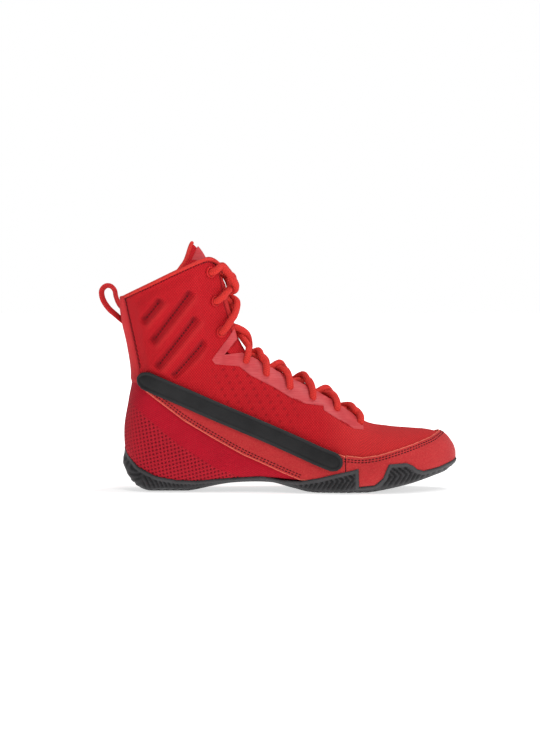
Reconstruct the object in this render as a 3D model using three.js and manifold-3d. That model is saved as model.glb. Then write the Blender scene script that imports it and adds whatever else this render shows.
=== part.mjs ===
// A high boxing boot for the right foot, built from its separate pieces: rubber outsole, foam and boards,
// mesh upper, suede and film overlays, lace, tongue and pull tab. Millimetres. +X runs to the toe, +Z is up,
// the outer (lateral) side faces -Y. The origin is in the middle of the heel's flat rest face. The outlines
// below are measured from the heel's rearmost point, HEEL_REST behind it.
import * as THREE from 'three';
import { mergeVertices } from 'three/addons/utils/BufferGeometryUtils.js';
import Module from 'manifold-3d';

const wasm = await Module();
wasm.setup();

// Driving dimensions.
const GAP = 0.35; // clearance between neighbouring pieces
const LAYER_GAP = 0.85; // clearance between layers, whose facets don't match
const MESH = 1.2; // thickness of the mesh upper
const SUEDE = 1.2; // thickness of the suede overlays
const FILM = 0.6; // thickness of the fused film round the lace holes
const RUBBER = 5; // thickness of the outsole under the heel and the ball
const ARCH_RUBBER = 3.9; // thickness of the outsole under the arch
const LACE_RADIUS = 1.8;
const HOLE_RADIUS = 3.2;
const THROAT_HALF_WIDTH = 10;
const HEEL_REST = 44; // from the heel's rearmost point to the middle of its rest face
const BOOT_HALF_WIDTH = 80; // wider than any piece, for cutting prisms

// Cross-sections of the upper's outer surface from the toe to the collar. Each one runs from a point on the
// top line to a point on the bottom line of the middle plane. lateral and medial are its two sides' y, ridge
// is the y of both lines, widest is where it is widest as a share of the way down, crown and base are the
// superellipse powers above and below that.
const SECTION_KEYS = [
  'topX', 'topZ', 'bottomX', 'bottomZ', 'lateral', 'medial', 'ridge', 'widest', 'crown', 'base',
];
const SECTIONS = [
  [289, 33, 289, 28.5, 7, 7, 7, 0.6, 2, 2.5],
  [286.5, 40, 286.5, 25, -6, 19.5, 7, 0.6, 2, 3],
  [279, 48.7, 279, 21, -17.5, 28, 6.5, 0.62, 2.1, 3.5],
  [266.5, 52.8, 266.5, 17, -29, 34.5, 6, 0.62, 2.2, 4],
  [250, 54.3, 250, 11.8, -38.5, 39, 5, 0.62, 2.2, 4],
  [231, 56, 231, 7.4, -45, 42, 4, 0.62, 2.2, 4],
  [211, 60.5, 211, 4.2, -47.5, 43.5, 3, 0.66, 2.1, 4],
  [186, 80, 186, 3.6, -45.5, 43.5, 2, 0.72, 2, 4],
  [160, 96, 160, 4.2, -40, 40, 1, 0.76, 2, 4],
  [134, 109.3, 130, 9.7, -35, 36, 0, 0.76, 2, 4],
  [114, 121, 97, 9.4, -33, 34, 0, 0.76, 2, 4],
  [105, 131, 62, 4.6, -32.5, 33, 0, 0.74, 2, 4],
  [102.3, 141, 34, 3.7, -32.5, 32.5, 0, 0.72, 2, 3.6],
  [100, 151, 14, 9, -32, 32, 0, 0.68, 2, 3],
  [97.5, 160, 3.5, 29, -32, 32, 0, 0.64, 2, 2.6],
  [95.5, 168, 1, 54, -32.5, 32.5, 0, 0.6, 2, 2.4],
  [94.3, 176, 4.8, 79, -33, 33, 0, 0.57, 2, 2.3],
  [93.3, 184, 8.2, 101, -33.5, 33.5, 0, 0.55, 2, 2.3],
  [92.3, 192, 5, 126, -34.5, 34.5, 0, 0.53, 2, 2.2],
  [91, 200, 0.2, 148, -35.5, 35.5, 0, 0.52, 2, 2.2],
  [88.5, 209, -2.3, 168.5, -37, 37, 0, 0.52, 2, 2.2],
];
const TOE = 0;
const HEEL_SECTION = 13.5; // the last section whose bottom point is on the sole
const COLLAR = SECTIONS.length - 1;

// Outlines in side view, as [x, z].
const COLLAR_LINE = [[-6, 166.8], [24.4, 181], [49.5, 193], [68, 201], [76, 203], [84, 198.6], [87.8, 192]];
const SHAFT_FRONT = [[90.4, 175.5], [91.4, 165.6], [95, 153], [100, 132.7]];
const COLLAR_CORNER = [[80.5, 196], [83.5, 189]]; // inside the binding's front end
const NOTCH = [88.7, 118.8];
const FACING = [
  [104, 120.7], [116.6, 115], [129, 108], [140, 101.7], [159, 92.7], [171, 86], [182.6, 79.5], [198.5, 68.6],
  [209.4, 61.4],
];
const FILM_EDGE = [
  [209, 54.5], [201, 55.6], [185, 65], [174.6, 71.6], [159, 77], [147, 81.7], [131.7, 91], [111.6, 101],
  [101.6, 109], [81, 111], [78, 115], [93, 135],
];
const FILM_TIP = [[97, 141], [99.8, 132.7], [89, 119.2]]; // round the notch
const STRAP_LOWER = [
  [15, 93], [30, 81], [54, 62.5], [80.5, 46.7], [105.5, 33], [138, 19], [155, 12.5], [193, 12],
];
const STRAP_UPPER = [
  [18, 99], [30, 95], [47, 88.5], [72, 78], [97, 68.5], [120, 59.5], [156, 43.5], [193, 33],
];
const BAND_PATH = [[22, 97], [50, 84.5], [80, 71], [110, 58.5], [140, 46], [170, 33], [184, 27.5]];
const BAND_HALF_WIDTH = 8;
const BAND_THICKNESS = 1.1;
const GUARD_TOP = [
  [193.8, 33.5], [208, 31.7], [221, 33.3], [235, 37], [251, 41.5], [266, 46.5], [276, 51], [300, 60],
];
const GUARD_HEEL_CORNER = [193.8, 7.4];
const UNDER_STRAP = [
  [-12, 99], [16, 96], [30, 88], [54, 69], [80.5, 53], [105.5, 39.5], [138, 23], [158, 12],
];
const HEEL_PANEL_TIP = [154, 11.5];
const VAMP_SEAM = [[211, 64], [206, 45], [202, 25], [200, 8]];
const FEATHER_LINE = [
  [300, 31], [286.5, 29], [279, 25], [266.5, 20.8], [250, 15.6], [231, 11], [205, 7.6], [186, 7.2], [160, 8.2],
  [130, 13.4], [97, 13], [80, 10.8], [62, 8.8], [34, 9], [14, 12], [-12, 13],
];
const OUTSOLE_TOP = [
  [-12, 39], [0, 39], [3, 31.6], [13.7, 20.8], [30, 12.4], [47, 9.6], [64, 9.2], [89, 12], [120, 13.8],
  [140, 11.4], [155, 9], [171, 10.5], [182.5, 13.4], [198, 16.5], [206.5, 18.4], [207.5, 6.2], [220, 7.4],
  [230, 22], [245, 22.8], [253, 18.6], [259.5, 17.4], [273.5, 19.8], [282, 22], [300, 28.5],
];
const LACE_HOLES = [[206, 59.8], [186, 72], [165.3, 82], [145.5, 91], [125, 102.4], [107.4, 113.5]];
const RING_EYELETS = [[86, 138.5], [81, 165.6], [77, 190.5]];
const LATERAL = -1;
const MEDIAL = 1;
const SIDE_NAME = { [LATERAL]: 'lateral', [MEDIAL]: 'medial' };

const COLOURS = {
  rubber: [0x39383a, 0.75],
  mesh: [0xbb2931, 0.85],
  knit: [0xaf1029, 0.85],
  suede: [0xb92e36, 0.95],
  film: [0xcf5254, 0.45],
  band: [0x363636, 0.5],
  lace: [0xce3338, 0.8],
  webbing: [0xcf3a3d, 0.8],
  lining: [0x9a1226, 0.9],
  foam: [0xd8d2c8, 0.95],
  board: [0xcfc6b4, 0.9],
  eyelet: [0xb01c28, 0.4],
};

const boot = new THREE.Group();
const root = new THREE.Group();
const tongueGroup = new THREE.Group();
const pullTabGroup = new THREE.Group();
const assembly = new THREE.Group();
assembly.position.x = -HEEL_REST;
assembly.add(root, tongueGroup, pullTabGroup);
boot.add(assembly);

function place(name, geometry, finish, group = root) {
  const [color, roughness] = COLOURS[finish];
  const mesh = new THREE.Mesh(geometry, new THREE.MeshStandardMaterial({ color, roughness, metalness: 0 }));
  mesh.name = name;
  group.add(mesh);
}

// ---- the boot's surface ----

function catmullRom(a, b, c, d, t) {
  return 0.5 * (2 * b + (c - a) * t + (2 * a - 5 * b + 4 * c - d) * t * t + (3 * b - a - 3 * c + d) * t ** 3);
}

function sectionAt(u) {
  const last = SECTIONS.length - 1;
  const first = Math.min(Math.max(Math.floor(u), 0), last - 1);
  const pick = (i) => SECTIONS[Math.min(Math.max(i, 0), last)];
  const section = {};
  const around = [-1, 0, 1, 2].map((step) => pick(first + step));
  SECTION_KEYS.forEach((key, k) => {
    section[key] = catmullRom(...around.map((values) => values[k]), u - first);
  });
  return section;
}

// The surface at section u and at an angle round it: 0 on the top line, PI on the bottom line, negative on
// the lateral side. A negative u is the other side of the toe, so that a patch can run round the toe.
function surfacePoint(u, angle) {
  if (u < 0) return surfacePoint(-u, -angle);
  const section = sectionAt(u);
  const cosine = Math.cos(angle);
  const sine = Math.sin(angle);
  const power = cosine > 0 ? section.crown : section.base;
  const radius = (Math.abs(cosine) ** power + Math.abs(sine) ** power) ** (-1 / power);
  const reach = cosine > 0 ? section.widest : 1 - section.widest;
  const drop = section.widest - cosine * radius * reach;
  const side = sine < 0 ? section.lateral : section.medial;
  return new THREE.Vector3(
    section.topX + (section.bottomX - section.topX) * drop,
    section.ridge + (side - section.ridge) * Math.abs(sine) * radius,
    section.topZ + (section.bottomZ - section.topZ) * drop,
  );
}

function surfaceNormal(u, angle) {
  const du = 0.04;
  const da = 0.04;
  const along = surfacePoint(Math.min(u + du, COLLAR), angle).sub(surfacePoint(u - du, angle));
  const around = surfacePoint(u, angle + da).sub(surfacePoint(u, angle - da));
  return around.cross(along).normalize();
}

const raised = (u, angle, height) => surfacePoint(u, angle).addScaledVector(surfaceNormal(u, angle), height);

// The section and the angle (0 to PI) of the surface point that side view shows at x, z.
function locate(x, z) {
  const ahead = (u) => {
    const s = sectionAt(u);
    return (s.bottomX - s.topX) * (z - s.topZ) - (s.bottomZ - s.topZ) * (x - s.topX);
  };
  let low = TOE;
  let high = COLLAR;
  for (let step = 0; step < 40; step += 1) {
    const middle = (low + high) / 2;
    if (ahead(middle) < 0) low = middle;
    else high = middle;
  }
  const s = sectionAt(low);
  const run = [s.bottomX - s.topX, s.bottomZ - s.topZ];
  const drop = ((x - s.topX) * run[0] + (z - s.topZ) * run[1]) / (run[0] ** 2 + run[1] ** 2);
  const reach = drop < s.widest ? s.widest : 1 - s.widest;
  const power = drop < s.widest ? s.crown : s.base;
  const level = Math.min(Math.max((s.widest - drop) / reach, -1), 1);
  return [low, Math.atan2((1 - Math.abs(level) ** power) ** (1 / power), level)];
}

// ---- building blocks ----

function geometryOf(positions, triangles) {
  const geometry = new THREE.BufferGeometry();
  geometry.setAttribute('position', new THREE.Float32BufferAttribute(positions, 3));
  geometry.setIndex(triangles);
  return mergeVertices(geometry, 1e-4);
}

// A closed sheet between two heights above the surface. at(i, j) gives a grid point's section and angle, for
// i and j from 0 to 1. inner and outer may also be functions of the section.
function sheet(at, columns, rows, inner, outer) {
  const height = (rule, u) => (typeof rule === 'function' ? rule(Math.abs(u)) : rule);
  const positions = [];
  for (const rule of [outer, inner]) {
    for (let i = 0; i <= columns; i += 1) {
      for (let j = 0; j <= rows; j += 1) {
        const [u, angle] = at(i / columns, j / rows);
        positions.push(...raised(u, angle, height(rule, u)).toArray());
      }
    }
  }
  return facingOut(geometryOf(positions, sheetTriangles(columns, rows)));
}

// The triangles of two grids of points, one above the other, and of the four edges that close them.
function sheetTriangles(columns, rows) {
  const triangles = [];
  const index = (layer, i, j) => (layer * (columns + 1) + i) * (rows + 1) + j;
  const quad = (a, b, c, d) => triangles.push(a, b, c, a, c, d);
  for (let i = 0; i < columns; i += 1) {
    for (let j = 0; j < rows; j += 1) {
      quad(index(0, i, j), index(0, i, j + 1), index(0, i + 1, j + 1), index(0, i + 1, j));
      quad(index(1, i, j), index(1, i + 1, j), index(1, i + 1, j + 1), index(1, i, j + 1));
    }
    quad(index(0, i, 0), index(0, i + 1, 0), index(1, i + 1, 0), index(1, i, 0));
    quad(index(0, i, rows), index(1, i, rows), index(1, i + 1, rows), index(0, i + 1, rows));
  }
  for (let j = 0; j < rows; j += 1) {
    quad(index(0, 0, j), index(1, 0, j), index(1, 0, j + 1), index(0, 0, j + 1));
    quad(index(0, columns, j), index(0, columns, j + 1), index(1, columns, j + 1), index(1, columns, j));
  }
  return triangles;
}

function signedVolume(geometry) {
  const at = geometry.getAttribute('position');
  const order = geometry.getIndex().array;
  const corner = (k) => new THREE.Vector3().fromBufferAttribute(at, order[k]);
  let sum = 0;
  for (let k = 0; k < order.length; k += 3) sum += corner(k).dot(corner(k + 1).cross(corner(k + 2)));
  return sum / 6;
}

function facingOut(geometry) {
  if (signedVolume(geometry) < 0) {
    const order = geometry.getIndex().array;
    for (let k = 0; k < order.length; k += 3) [order[k], order[k + 1]] = [order[k + 1], order[k]];
  }
  return geometry;
}

// The point a share t of the way along a polyline.
function along(points, t) {
  const lengths = points.slice(1).map((p, k) => Math.hypot(p[0] - points[k][0], p[1] - points[k][1]));
  let left = t * lengths.reduce((sum, length) => sum + length, 0);
  for (let k = 0; k < lengths.length; k += 1) {
    if (left <= lengths[k] || k === lengths.length - 1) {
      const share = Math.min(left / lengths[k], 1);
      return points[k].map((value, axis) => value + (points[k + 1][axis] - value) * share);
    }
    left -= lengths[k];
  }
  return points[0];
}

// A sheet's grid rule between a lower and an upper side outline.
function between(lower, upper, side) {
  return (i, j) => {
    const [u0, a0] = locate(...along(lower, i));
    const [u1, a1] = locate(...along(upper, i));
    return [u0 + (u1 - u0) * j, side * (a0 + (a1 - a0) * j)];
  };
}

function solidOf(geometry) {
  const bare = geometry.index ? geometry.clone() : geometry;
  bare.deleteAttribute('normal');
  bare.deleteAttribute('uv');
  const merged = mergeVertices(bare, 1e-4);
  return new wasm.Manifold(new wasm.Mesh({
    numProp: 3,
    vertProperties: Float32Array.from(merged.getAttribute('position').array),
    triVerts: Uint32Array.from(merged.getIndex().array),
  }));
}

// The geometry of a solid's largest body, so that no sliver is left beside it.
function geometryFrom(solid) {
  const bodies = solid.decompose().sort((a, b) => b.volume() - a.volume());
  const mesh = bodies[0].simplify(0.2).getMesh();
  return geometryOf(Array.from(mesh.vertProperties), Array.from(mesh.triVerts));
}

// The boot's whole surface as a solid, raised by a height, from the toe to section lastSection.
function bootSolid(rule, lastSection = COLLAR, perSection = 1.25, around = 24) {
  const rings = Math.round(lastSection * perSection);
  const positions = [];
  const triangles = [];
  for (let ring = 0; ring <= rings; ring += 1) {
    const u = (lastSection * ring) / rings;
    const height = typeof rule === 'function' ? rule(u) : rule;
    for (let k = 0; k < around; k += 1) {
      positions.push(...raised(u, (2 * Math.PI * k) / around, height).toArray());
    }
  }
  for (let ring = 0; ring < rings; ring += 1) {
    for (let k = 0; k < around; k += 1) {
      const a = ring * around + k;
      const b = ring * around + ((k + 1) % around);
      triangles.push(a, a + around, b, b, a + around, b + around);
    }
  }
  const end = rings * around;
  for (let k = 1; k < around - 1; k += 1) triangles.push(end, end + k + 1, end + k);
  const merged = geometryOf(positions, triangles);
  const kept = [];
  const order = merged.getIndex().array;
  for (let k = 0; k < order.length; k += 3) {
    const [a, b, c] = [order[k], order[k + 1], order[k + 2]];
    if (a !== b && b !== c && c !== a) kept.push(a, b, c);
  }
  merged.setIndex(kept);
  return solidOf(facingOut(merged));
}

// A side outline pushed through the boot from y = from to y = to.
function prism(outline, from = -BOOT_HALF_WIDTH, to = BOOT_HALF_WIDTH) {
  const shape = new THREE.Shape(outline.map(([x, z]) => new THREE.Vector2(x, z)));
  const geometry = new THREE.ExtrudeGeometry(shape, { depth: to - from, bevelEnabled: false });
  geometry.rotateX(Math.PI / 2);
  geometry.translate(0, to, 0);
  return solidOf(geometry);
}

const shell = (inner, outer, lastSection) =>
  bootSolid(outer, lastSection).subtract(bootSolid(inner, lastSection));

// A frame whose Y axis is the surface's outward normal at a side-view point.
function stand(x, z, side, height) {
  const [u, angle] = locate(x, z);
  const normal = surfaceNormal(u, side * angle);
  const turn = new THREE.Quaternion().setFromUnitVectors(new THREE.Vector3(0, 1, 0), normal);
  const spot = raised(u, side * angle, height);
  return new THREE.Matrix4().compose(spot, turn, new THREE.Vector3(1, 1, 1));
}

function punched(solid, holes, side, radius) {
  const depth = 12;
  const facets = 12;
  return holes.reduce((left, [x, z]) => {
    const punch = new THREE.CylinderGeometry(radius, radius, depth, facets);
    return left.subtract(solidOf(punch.applyMatrix4(stand(x, z, side, 0))));
  }, solid);
}

// The parallel-sided opening between the two facings.
const throatSlot = () =>
  prism([[106, 100], [106, 135], [204, 90], [204, 50]], -THROAT_HALF_WIDTH, THROAT_HALF_WIDTH);

const lowered = (points, drop) => points.map(([x, z]) => [x, z - drop]);

// ---- outsole, boards and foam ----

function outsole() {
  const archSection = 9.6;
  const archReach = 1.5; // in sections, to each side of archSection
  const arch = (u) => Math.exp(-(((u - archSection) / archReach) ** 4));
  const thickness = (u) => RUBBER + (ARCH_RUBBER - RUBBER) * arch(u);
  const bed = SUEDE + LAYER_GAP + 2 * GAP;
  const outline = [...OUTSOLE_TOP, [300, 0], [-12, 0]];
  return geometryFrom(shell(bed, thickness).intersect(prism(outline)));
}

const sectionAtBottom = (x) => {
  let low = TOE;
  let high = HEEL_SECTION;
  for (let step = 0; step < 40; step += 1) {
    const middle = (low + high) / 2;
    if (sectionAt(middle).bottomX > x) low = middle;
    else high = middle;
  }
  return sectionAt(low);
};

// A sole-shaped plate. share is its width as a share of the upper's, low and high are its heights above the
// upper's bottom line at x.
function solePlate(heelX, toeX, share, low, high) {
  const stations = 18;
  const heelRound = 34;
  const positions = [];
  const triangles = [];
  for (let k = 0; k <= stations; k += 1) {
    const x = heelX + (toeX - heelX) * (0.5 - 0.5 * Math.cos((Math.PI * k) / stations));
    const s = sectionAtBottom(x);
    const behind = Math.max(0, (heelX + heelRound - x) / heelRound);
    const rounding = Math.sqrt(Math.max(1 - behind ** 2, 0.04));
    const edge = (y) => s.ridge + (y - s.ridge) * share * rounding;
    const [bottom, top] = [s.bottomZ + low(x), s.bottomZ + high(x)];
    positions.push(x, edge(s.lateral), bottom, x, edge(s.medial), bottom);
    positions.push(x, edge(s.medial), top, x, edge(s.lateral), top);
  }
  for (let k = 0; k < stations; k += 1) {
    for (let c = 0; c < 4; c += 1) {
      const a = 4 * k + c;
      const b = 4 * k + ((c + 1) % 4);
      triangles.push(a, b, b + 4, a, b + 4, a + 4);
    }
  }
  const end = 4 * stations;
  triangles.push(0, 2, 1, 0, 3, 2, end, end + 1, end + 2, end, end + 2, end + 3);
  return facingOut(geometryOf(positions, triangles));
}

const ARCH_X = 90; // where the heel wedge is half its height
const WEDGE_RUN = 14;
const WEDGE_HEIGHT = 4.2;
const MIDSOLE_FRONT_TOP = 0.2;
const MIDSOLE_BOTTOM = -0.8;
const BOARD_THICKNESS = 1.2;
const SOCKLINER_THICKNESS = 3;
const heelShare = (x) => 1 / (1 + Math.exp((x - ARCH_X) / WEDGE_RUN)); // 1 at the heel, 0 before the arch
const midsoleTop = (x) => MIDSOLE_FRONT_TOP + WEDGE_HEIGHT * heelShare(x);
const boardTop = (x) => midsoleTop(x) + GAP + BOARD_THICKNESS;
const sockTop = (x) => boardTop(x) + GAP + SOCKLINER_THICKNESS;
const HEEL_END = 18; // the plates' ends, and their widths as shares of the upper's
const MIDSOLE_TOE_END = 258;
const BOARD_TOE_END = 264;
const MIDSOLE_WIDTH = 0.52;
const BOARD_WIDTH = 0.66;

place('outsole', outsole(), 'rubber');
const midsoleBottom = () => MIDSOLE_BOTTOM;
place('midsole', solePlate(HEEL_END, MIDSOLE_TOE_END, MIDSOLE_WIDTH, midsoleBottom, midsoleTop), 'foam');
const onMidsole = (x) => midsoleTop(x) + GAP;
const onBoard = (x) => boardTop(x) + GAP;
place('strobel_board', solePlate(HEEL_END, BOARD_TOE_END, BOARD_WIDTH, onMidsole, boardTop), 'board');
place('sockliner', solePlate(HEEL_END + 2, BOARD_TOE_END, BOARD_WIDTH, onBoard, sockTop), 'lining');

// ---- mesh upper ----

function vamp() {
  const outline = [...VAMP_SEAM, ...FEATHER_LINE.slice(0, 7).reverse(), [300, 90], [211, 90]];
  return geometryFrom(shell(-MESH, 0, 7).intersect(prism(outline)));
}

function quarter(side) {
  const reach = side === LATERAL ? [-BOOT_HALF_WIDTH, -GAP] : [GAP, BOOT_HALF_WIDTH];
  const bindingDepth = 3.9;
  const seam = VAMP_SEAM.map(([x, z]) => [x - GAP, z]).slice(1, 3);
  const outline = [
    ...lowered(COLLAR_LINE.slice(0, -2), bindingDepth),
    ...COLLAR_CORNER,
    ...SHAFT_FRONT,
    NOTCH,
    ...FACING,
    ...seam,
    [199.5, 7.4],
    ...FEATHER_LINE.slice(7, 9),
    ...UNDER_STRAP.slice(1).reverse(),
    [-12, 98.5],
  ];
  let solid = shell(-MESH, 0).intersect(prism(outline, ...reach)).subtract(throatSlot());
  solid = punched(solid, LACE_HOLES, side, HOLE_RADIUS);
  solid = punched(solid, RING_EYELETS, side, EYELET_BARREL + GAP);
  return geometryFrom(solid);
}

function heelPanel() {
  const top = UNDER_STRAP.map(([x, z]) => [x - GAP, z - 3 * GAP]);
  const outline = [...top.slice(0, -1), HEEL_PANEL_TIP, ...FEATHER_LINE.slice(9)];
  return geometryFrom(shell(-MESH, 0).intersect(prism(outline)));
}

// ---- overlays ----

const overlay = (lower, upper, side, columns, rows, base, thickness) =>
  sheet(between(lower, upper, side), columns, rows, base, base + thickness);

function mudguard() {
  const bottom = FEATHER_LINE.slice(0, 7);
  const outline = [...GUARD_TOP, ...bottom, GUARD_HEEL_CORNER];
  return geometryFrom(shell(LAYER_GAP, LAYER_GAP + SUEDE, 7).intersect(prism(outline)));
}

function sideBand(side) {
  const offset = (sign) => BAND_PATH.map(([x, z], k) => {
    const [a, b] = [BAND_PATH[Math.max(k - 1, 0)], BAND_PATH[Math.min(k + 1, BAND_PATH.length - 1)]];
    const length = Math.hypot(b[0] - a[0], b[1] - a[1]);
    const reach = sign * BAND_HALF_WIDTH;
    return [x - (reach * (b[1] - a[1])) / length, z + (reach * (b[0] - a[0])) / length];
  });
  return overlay(offset(-1), offset(1), side, 16, 3, SUEDE + 2 * LAYER_GAP + GAP, BAND_THICKNESS);
}

function eyestay(side) {
  const reach = side === LATERAL ? [-BOOT_HALF_WIDTH, -GAP] : [GAP, BOOT_HALF_WIDTH];
  const outline = [...FILM_TIP, ...lowered(FACING, 0.3), ...FILM_EDGE];
  const solid = shell(LAYER_GAP, LAYER_GAP + FILM).intersect(prism(outline, ...reach)).subtract(throatSlot());
  return geometryFrom(punched(solid, LACE_HOLES, side, HOLE_RADIUS));
}

// The strip over the back seam narrows towards the collar.
function backStrip() {
  const [bottom, top] = [16.9, 19.65];
  const [bottomHalfAngle, topHalfAngle] = [0.425, 0.2875];
  const at = (i, j) => {
    const halfAngle = bottomHalfAngle + (topHalfAngle - bottomHalfAngle) * i;
    return [bottom + (top - bottom) * i, Math.PI + halfAngle * (2 * j - 1)];
  };
  return sheet(at, 6, 6, LAYER_GAP, LAYER_GAP + SUEDE);
}

// ---- shaft insides ----

// The lining lies close to the mesh over the ball, and deeper behind the foam from the instep up.
const insideDepth = (u) => -2.2 - 2.4 * smoothStep(8, 10, u) - 1.2 * smoothStep(14, 15.5, u);

function smoothStep(start, end, value) {
  const t = Math.min(Math.max((value - start) / (end - start), 0), 1);
  return t * t * (3 - 2 * t);
}

// One side's lining. Its front edge clears the tongue. Its lower edge is above the sole as far as the heel,
// and reaches round to the back line above it.
function lining(side) {
  const thickness = 0.9;
  const [bottom, top] = [8, 19.6];
  const [frontAtInstep, frontAtShaft] = [1, 1.4];
  const [edgeAboveSole, edgeAtBack] = [1.95, Math.PI - 0.04];
  const at = (i, j) => {
    const u = bottom + (top - bottom) * i;
    const first = frontAtInstep + (frontAtShaft - frontAtInstep) * smoothStep(11, 13, u);
    const last = edgeAboveSole + (edgeAtBack - edgeAboveSole) * smoothStep(12.2, 13.6, u);
    return [u, side * (first + (last - first) * j)];
  };
  return sheet(at, 14, 5, (u) => insideDepth(u) - thickness, insideDepth);
}

function anklePad(side) {
  const [bottom, top] = [16, 19.4];
  const [front, back] = [1.3, 2.6];
  const innerFace = -4.8;
  const at = (i, j) => [bottom + (top - bottom) * i, side * (front + (back - front) * j)];
  return sheet(at, 7, 5, innerFace, -MESH - LAYER_GAP);
}

function heelCounter() {
  const [bottom, top] = [13.4, 15.6];
  const halfAngle = 1;
  const innerFace = -4;
  const at = (i, j) => [bottom + (top - bottom) * i, Math.PI + halfAngle * (2 * j - 1)];
  return sheet(at, 5, 8, innerFace, -MESH - 2 * LAYER_GAP);
}

function toePuff() {
  const innerFace = -3.1;
  const lastSection = 5;
  const outline = [[262, 24], [300, 34], [300, 80], [262, 80]];
  const walls = shell(innerFace, -MESH - LAYER_GAP - GAP, lastSection);
  return geometryFrom(walls.intersect(prism(outline)));
}

// The rolled collar edge: a cord that runs from one front corner round the back to the other.
function collarBinding() {
  const radius = 1.7;
  const line = lowered(COLLAR_LINE.slice(1), radius);
  const sidePoints = (side) => line.map(([x, z]) => {
    const [u, angle] = locate(x, z);
    return raised(u, side * angle, -radius);
  });
  const heel = raised(19.9, Math.PI, -radius);
  const path = new THREE.CatmullRomCurve3([...sidePoints(LATERAL).reverse(), heel, ...sidePoints(MEDIAL)]);
  return tube(path, 32, radius, radius, 5);
}

function tube(path, steps, halfWidth, halfHeight, facets) {
  const shape = new THREE.Shape();
  for (let k = 0; k < facets; k += 1) {
    const angle = (2 * Math.PI * k) / facets;
    const spot = [halfWidth * Math.cos(angle), halfHeight * Math.sin(angle)];
    if (k === 0) shape.moveTo(...spot);
    else shape.lineTo(...spot);
  }
  const geometry = new THREE.ExtrudeGeometry(shape, { steps, extrudePath: path, bevelEnabled: false });
  geometry.deleteAttribute('normal');
  geometry.deleteAttribute('uv');
  return facingOut(mergeVertices(geometry, 1e-4));
}

// ---- tongue ----

// The tongue's middle line in side view, from its sewn foot to its peak.
const TONGUE_SPINE = [
  [202, 57], [183, 73], [157, 88.5], [130, 100.5], [107, 110], [94.5, 122], [89.5, 138], [86, 153],
  [81, 168], [75, 184], [69, 200], [63, 214],
];

// Its cross-section is the front of an ellipse, TONGUE_BOW deep and TONGUE_ROUND to each side. Its half width
// is TONGUE_FOOT at its foot, wider above that, and narrower again towards the peak.
const TONGUE_BOW = 58;
const TONGUE_ROUND = 33;
const TONGUE_FOOT = 13;
const TONGUE_WIDENING = 9;

// A curved sheet along the tongue. from and to are shares of its length, spread scales its width, and front
// and back are its two faces' distances in front of the tongue's middle line.
function tongueSheet(from, to, spread, back, front) {
  const [columns, rows] = [14, 4];
  const spine = new THREE.CatmullRomCurve3(TONGUE_SPINE.map(([x, z]) => new THREE.Vector3(x, 0, z)));
  const positions = [];
  for (const height of [front, back]) {
    for (let i = 0; i <= columns; i += 1) {
      const t = from + ((to - from) * i) / columns;
      const centre = spine.getPointAt(t);
      const forward = new THREE.Vector3(0, 1, 0).cross(spine.getTangentAt(t));
      const widening = TONGUE_WIDENING * (smoothStep(0, 0.25, t) - smoothStep(0.86, 1, t));
      const halfWidth = spread * (TONGUE_FOOT + widening);
      for (let j = 0; j <= rows; j += 1) {
        const y = halfWidth * ((2 * j) / rows - 1);
        const sag = TONGUE_BOW * (1 - Math.sqrt(1 - (y / TONGUE_ROUND) ** 2));
        positions.push(...centre.clone().addScaledVector(forward, height - sag).setY(y).toArray());
      }
    }
  }
  return facingOut(geometryOf(positions, sheetTriangles(columns, rows)));
}

// ---- lace and its eyelets ----

const EYELET_BARREL = 3.8;

function ringEyelet(x, z, side) {
  const flange = 4.9;
  const shoulder = 4.1;
  const facets = 12;
  const [inside, face, foot] = [HOLE_RADIUS, 1.5, -MESH - 0.4];
  const profile = [
    [inside, foot], [EYELET_BARREL, foot], [EYELET_BARREL, GAP], [flange, GAP], [shoulder, face],
    [inside, face], [inside, foot],
  ];
  const geometry = new THREE.LatheGeometry(profile.map(([r, y]) => new THREE.Vector2(r, y)), facets);
  geometry.deleteAttribute('normal');
  geometry.deleteAttribute('uv');
  return facingOut(mergeVertices(geometry.applyMatrix4(stand(x, z, side, 0)), 1e-4));
}

// One cord through every hole. It lies straight across the lowest pair, under the facings. From there each
// half comes up through its hole, crosses the throat over its own facing and goes under the other one to the
// next hole. From the top pair both tails bow out over the crossing below and are tucked in under it.
const CORD_OVER_FILM = 3.9; // heights of the cord's middle line above the surface
const CORD_OVER_RING = 4.3;
const CORD_OVER_EDGE = 3.7;
const CORD_UNDER = -4.1;
const CORD_UNDER_COLLAR = -5.8;
const CORD_CROSSINGS = [3, -1.2];
const LOW_CROSSING = { edge: 0.26, middle: 0.5, far: 0.8 }; // shares of the way up to the next row
const SHAFT_CROSSING = { edge: 0.02, middle: 0.34, far: 0.75 };
const OWN_EDGE = 0.5; // where the cord crosses the facings' edges, as shares of the holes' angles
const FAR_EDGE = 0.4;
// Each tail, as sections below the top hole, angle from the middle and height.
const LACE_TAIL = [
  [0.5, 0.5, 5.2], [1.4, 0.42, 7.4], [2.2, 0.34, 8.4], [2.8, 0.25, 6.2], [3.1, 0.15, 1.5], [3.15, 0.11, -4],
  [3.2, 0.11, -8],
];

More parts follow.
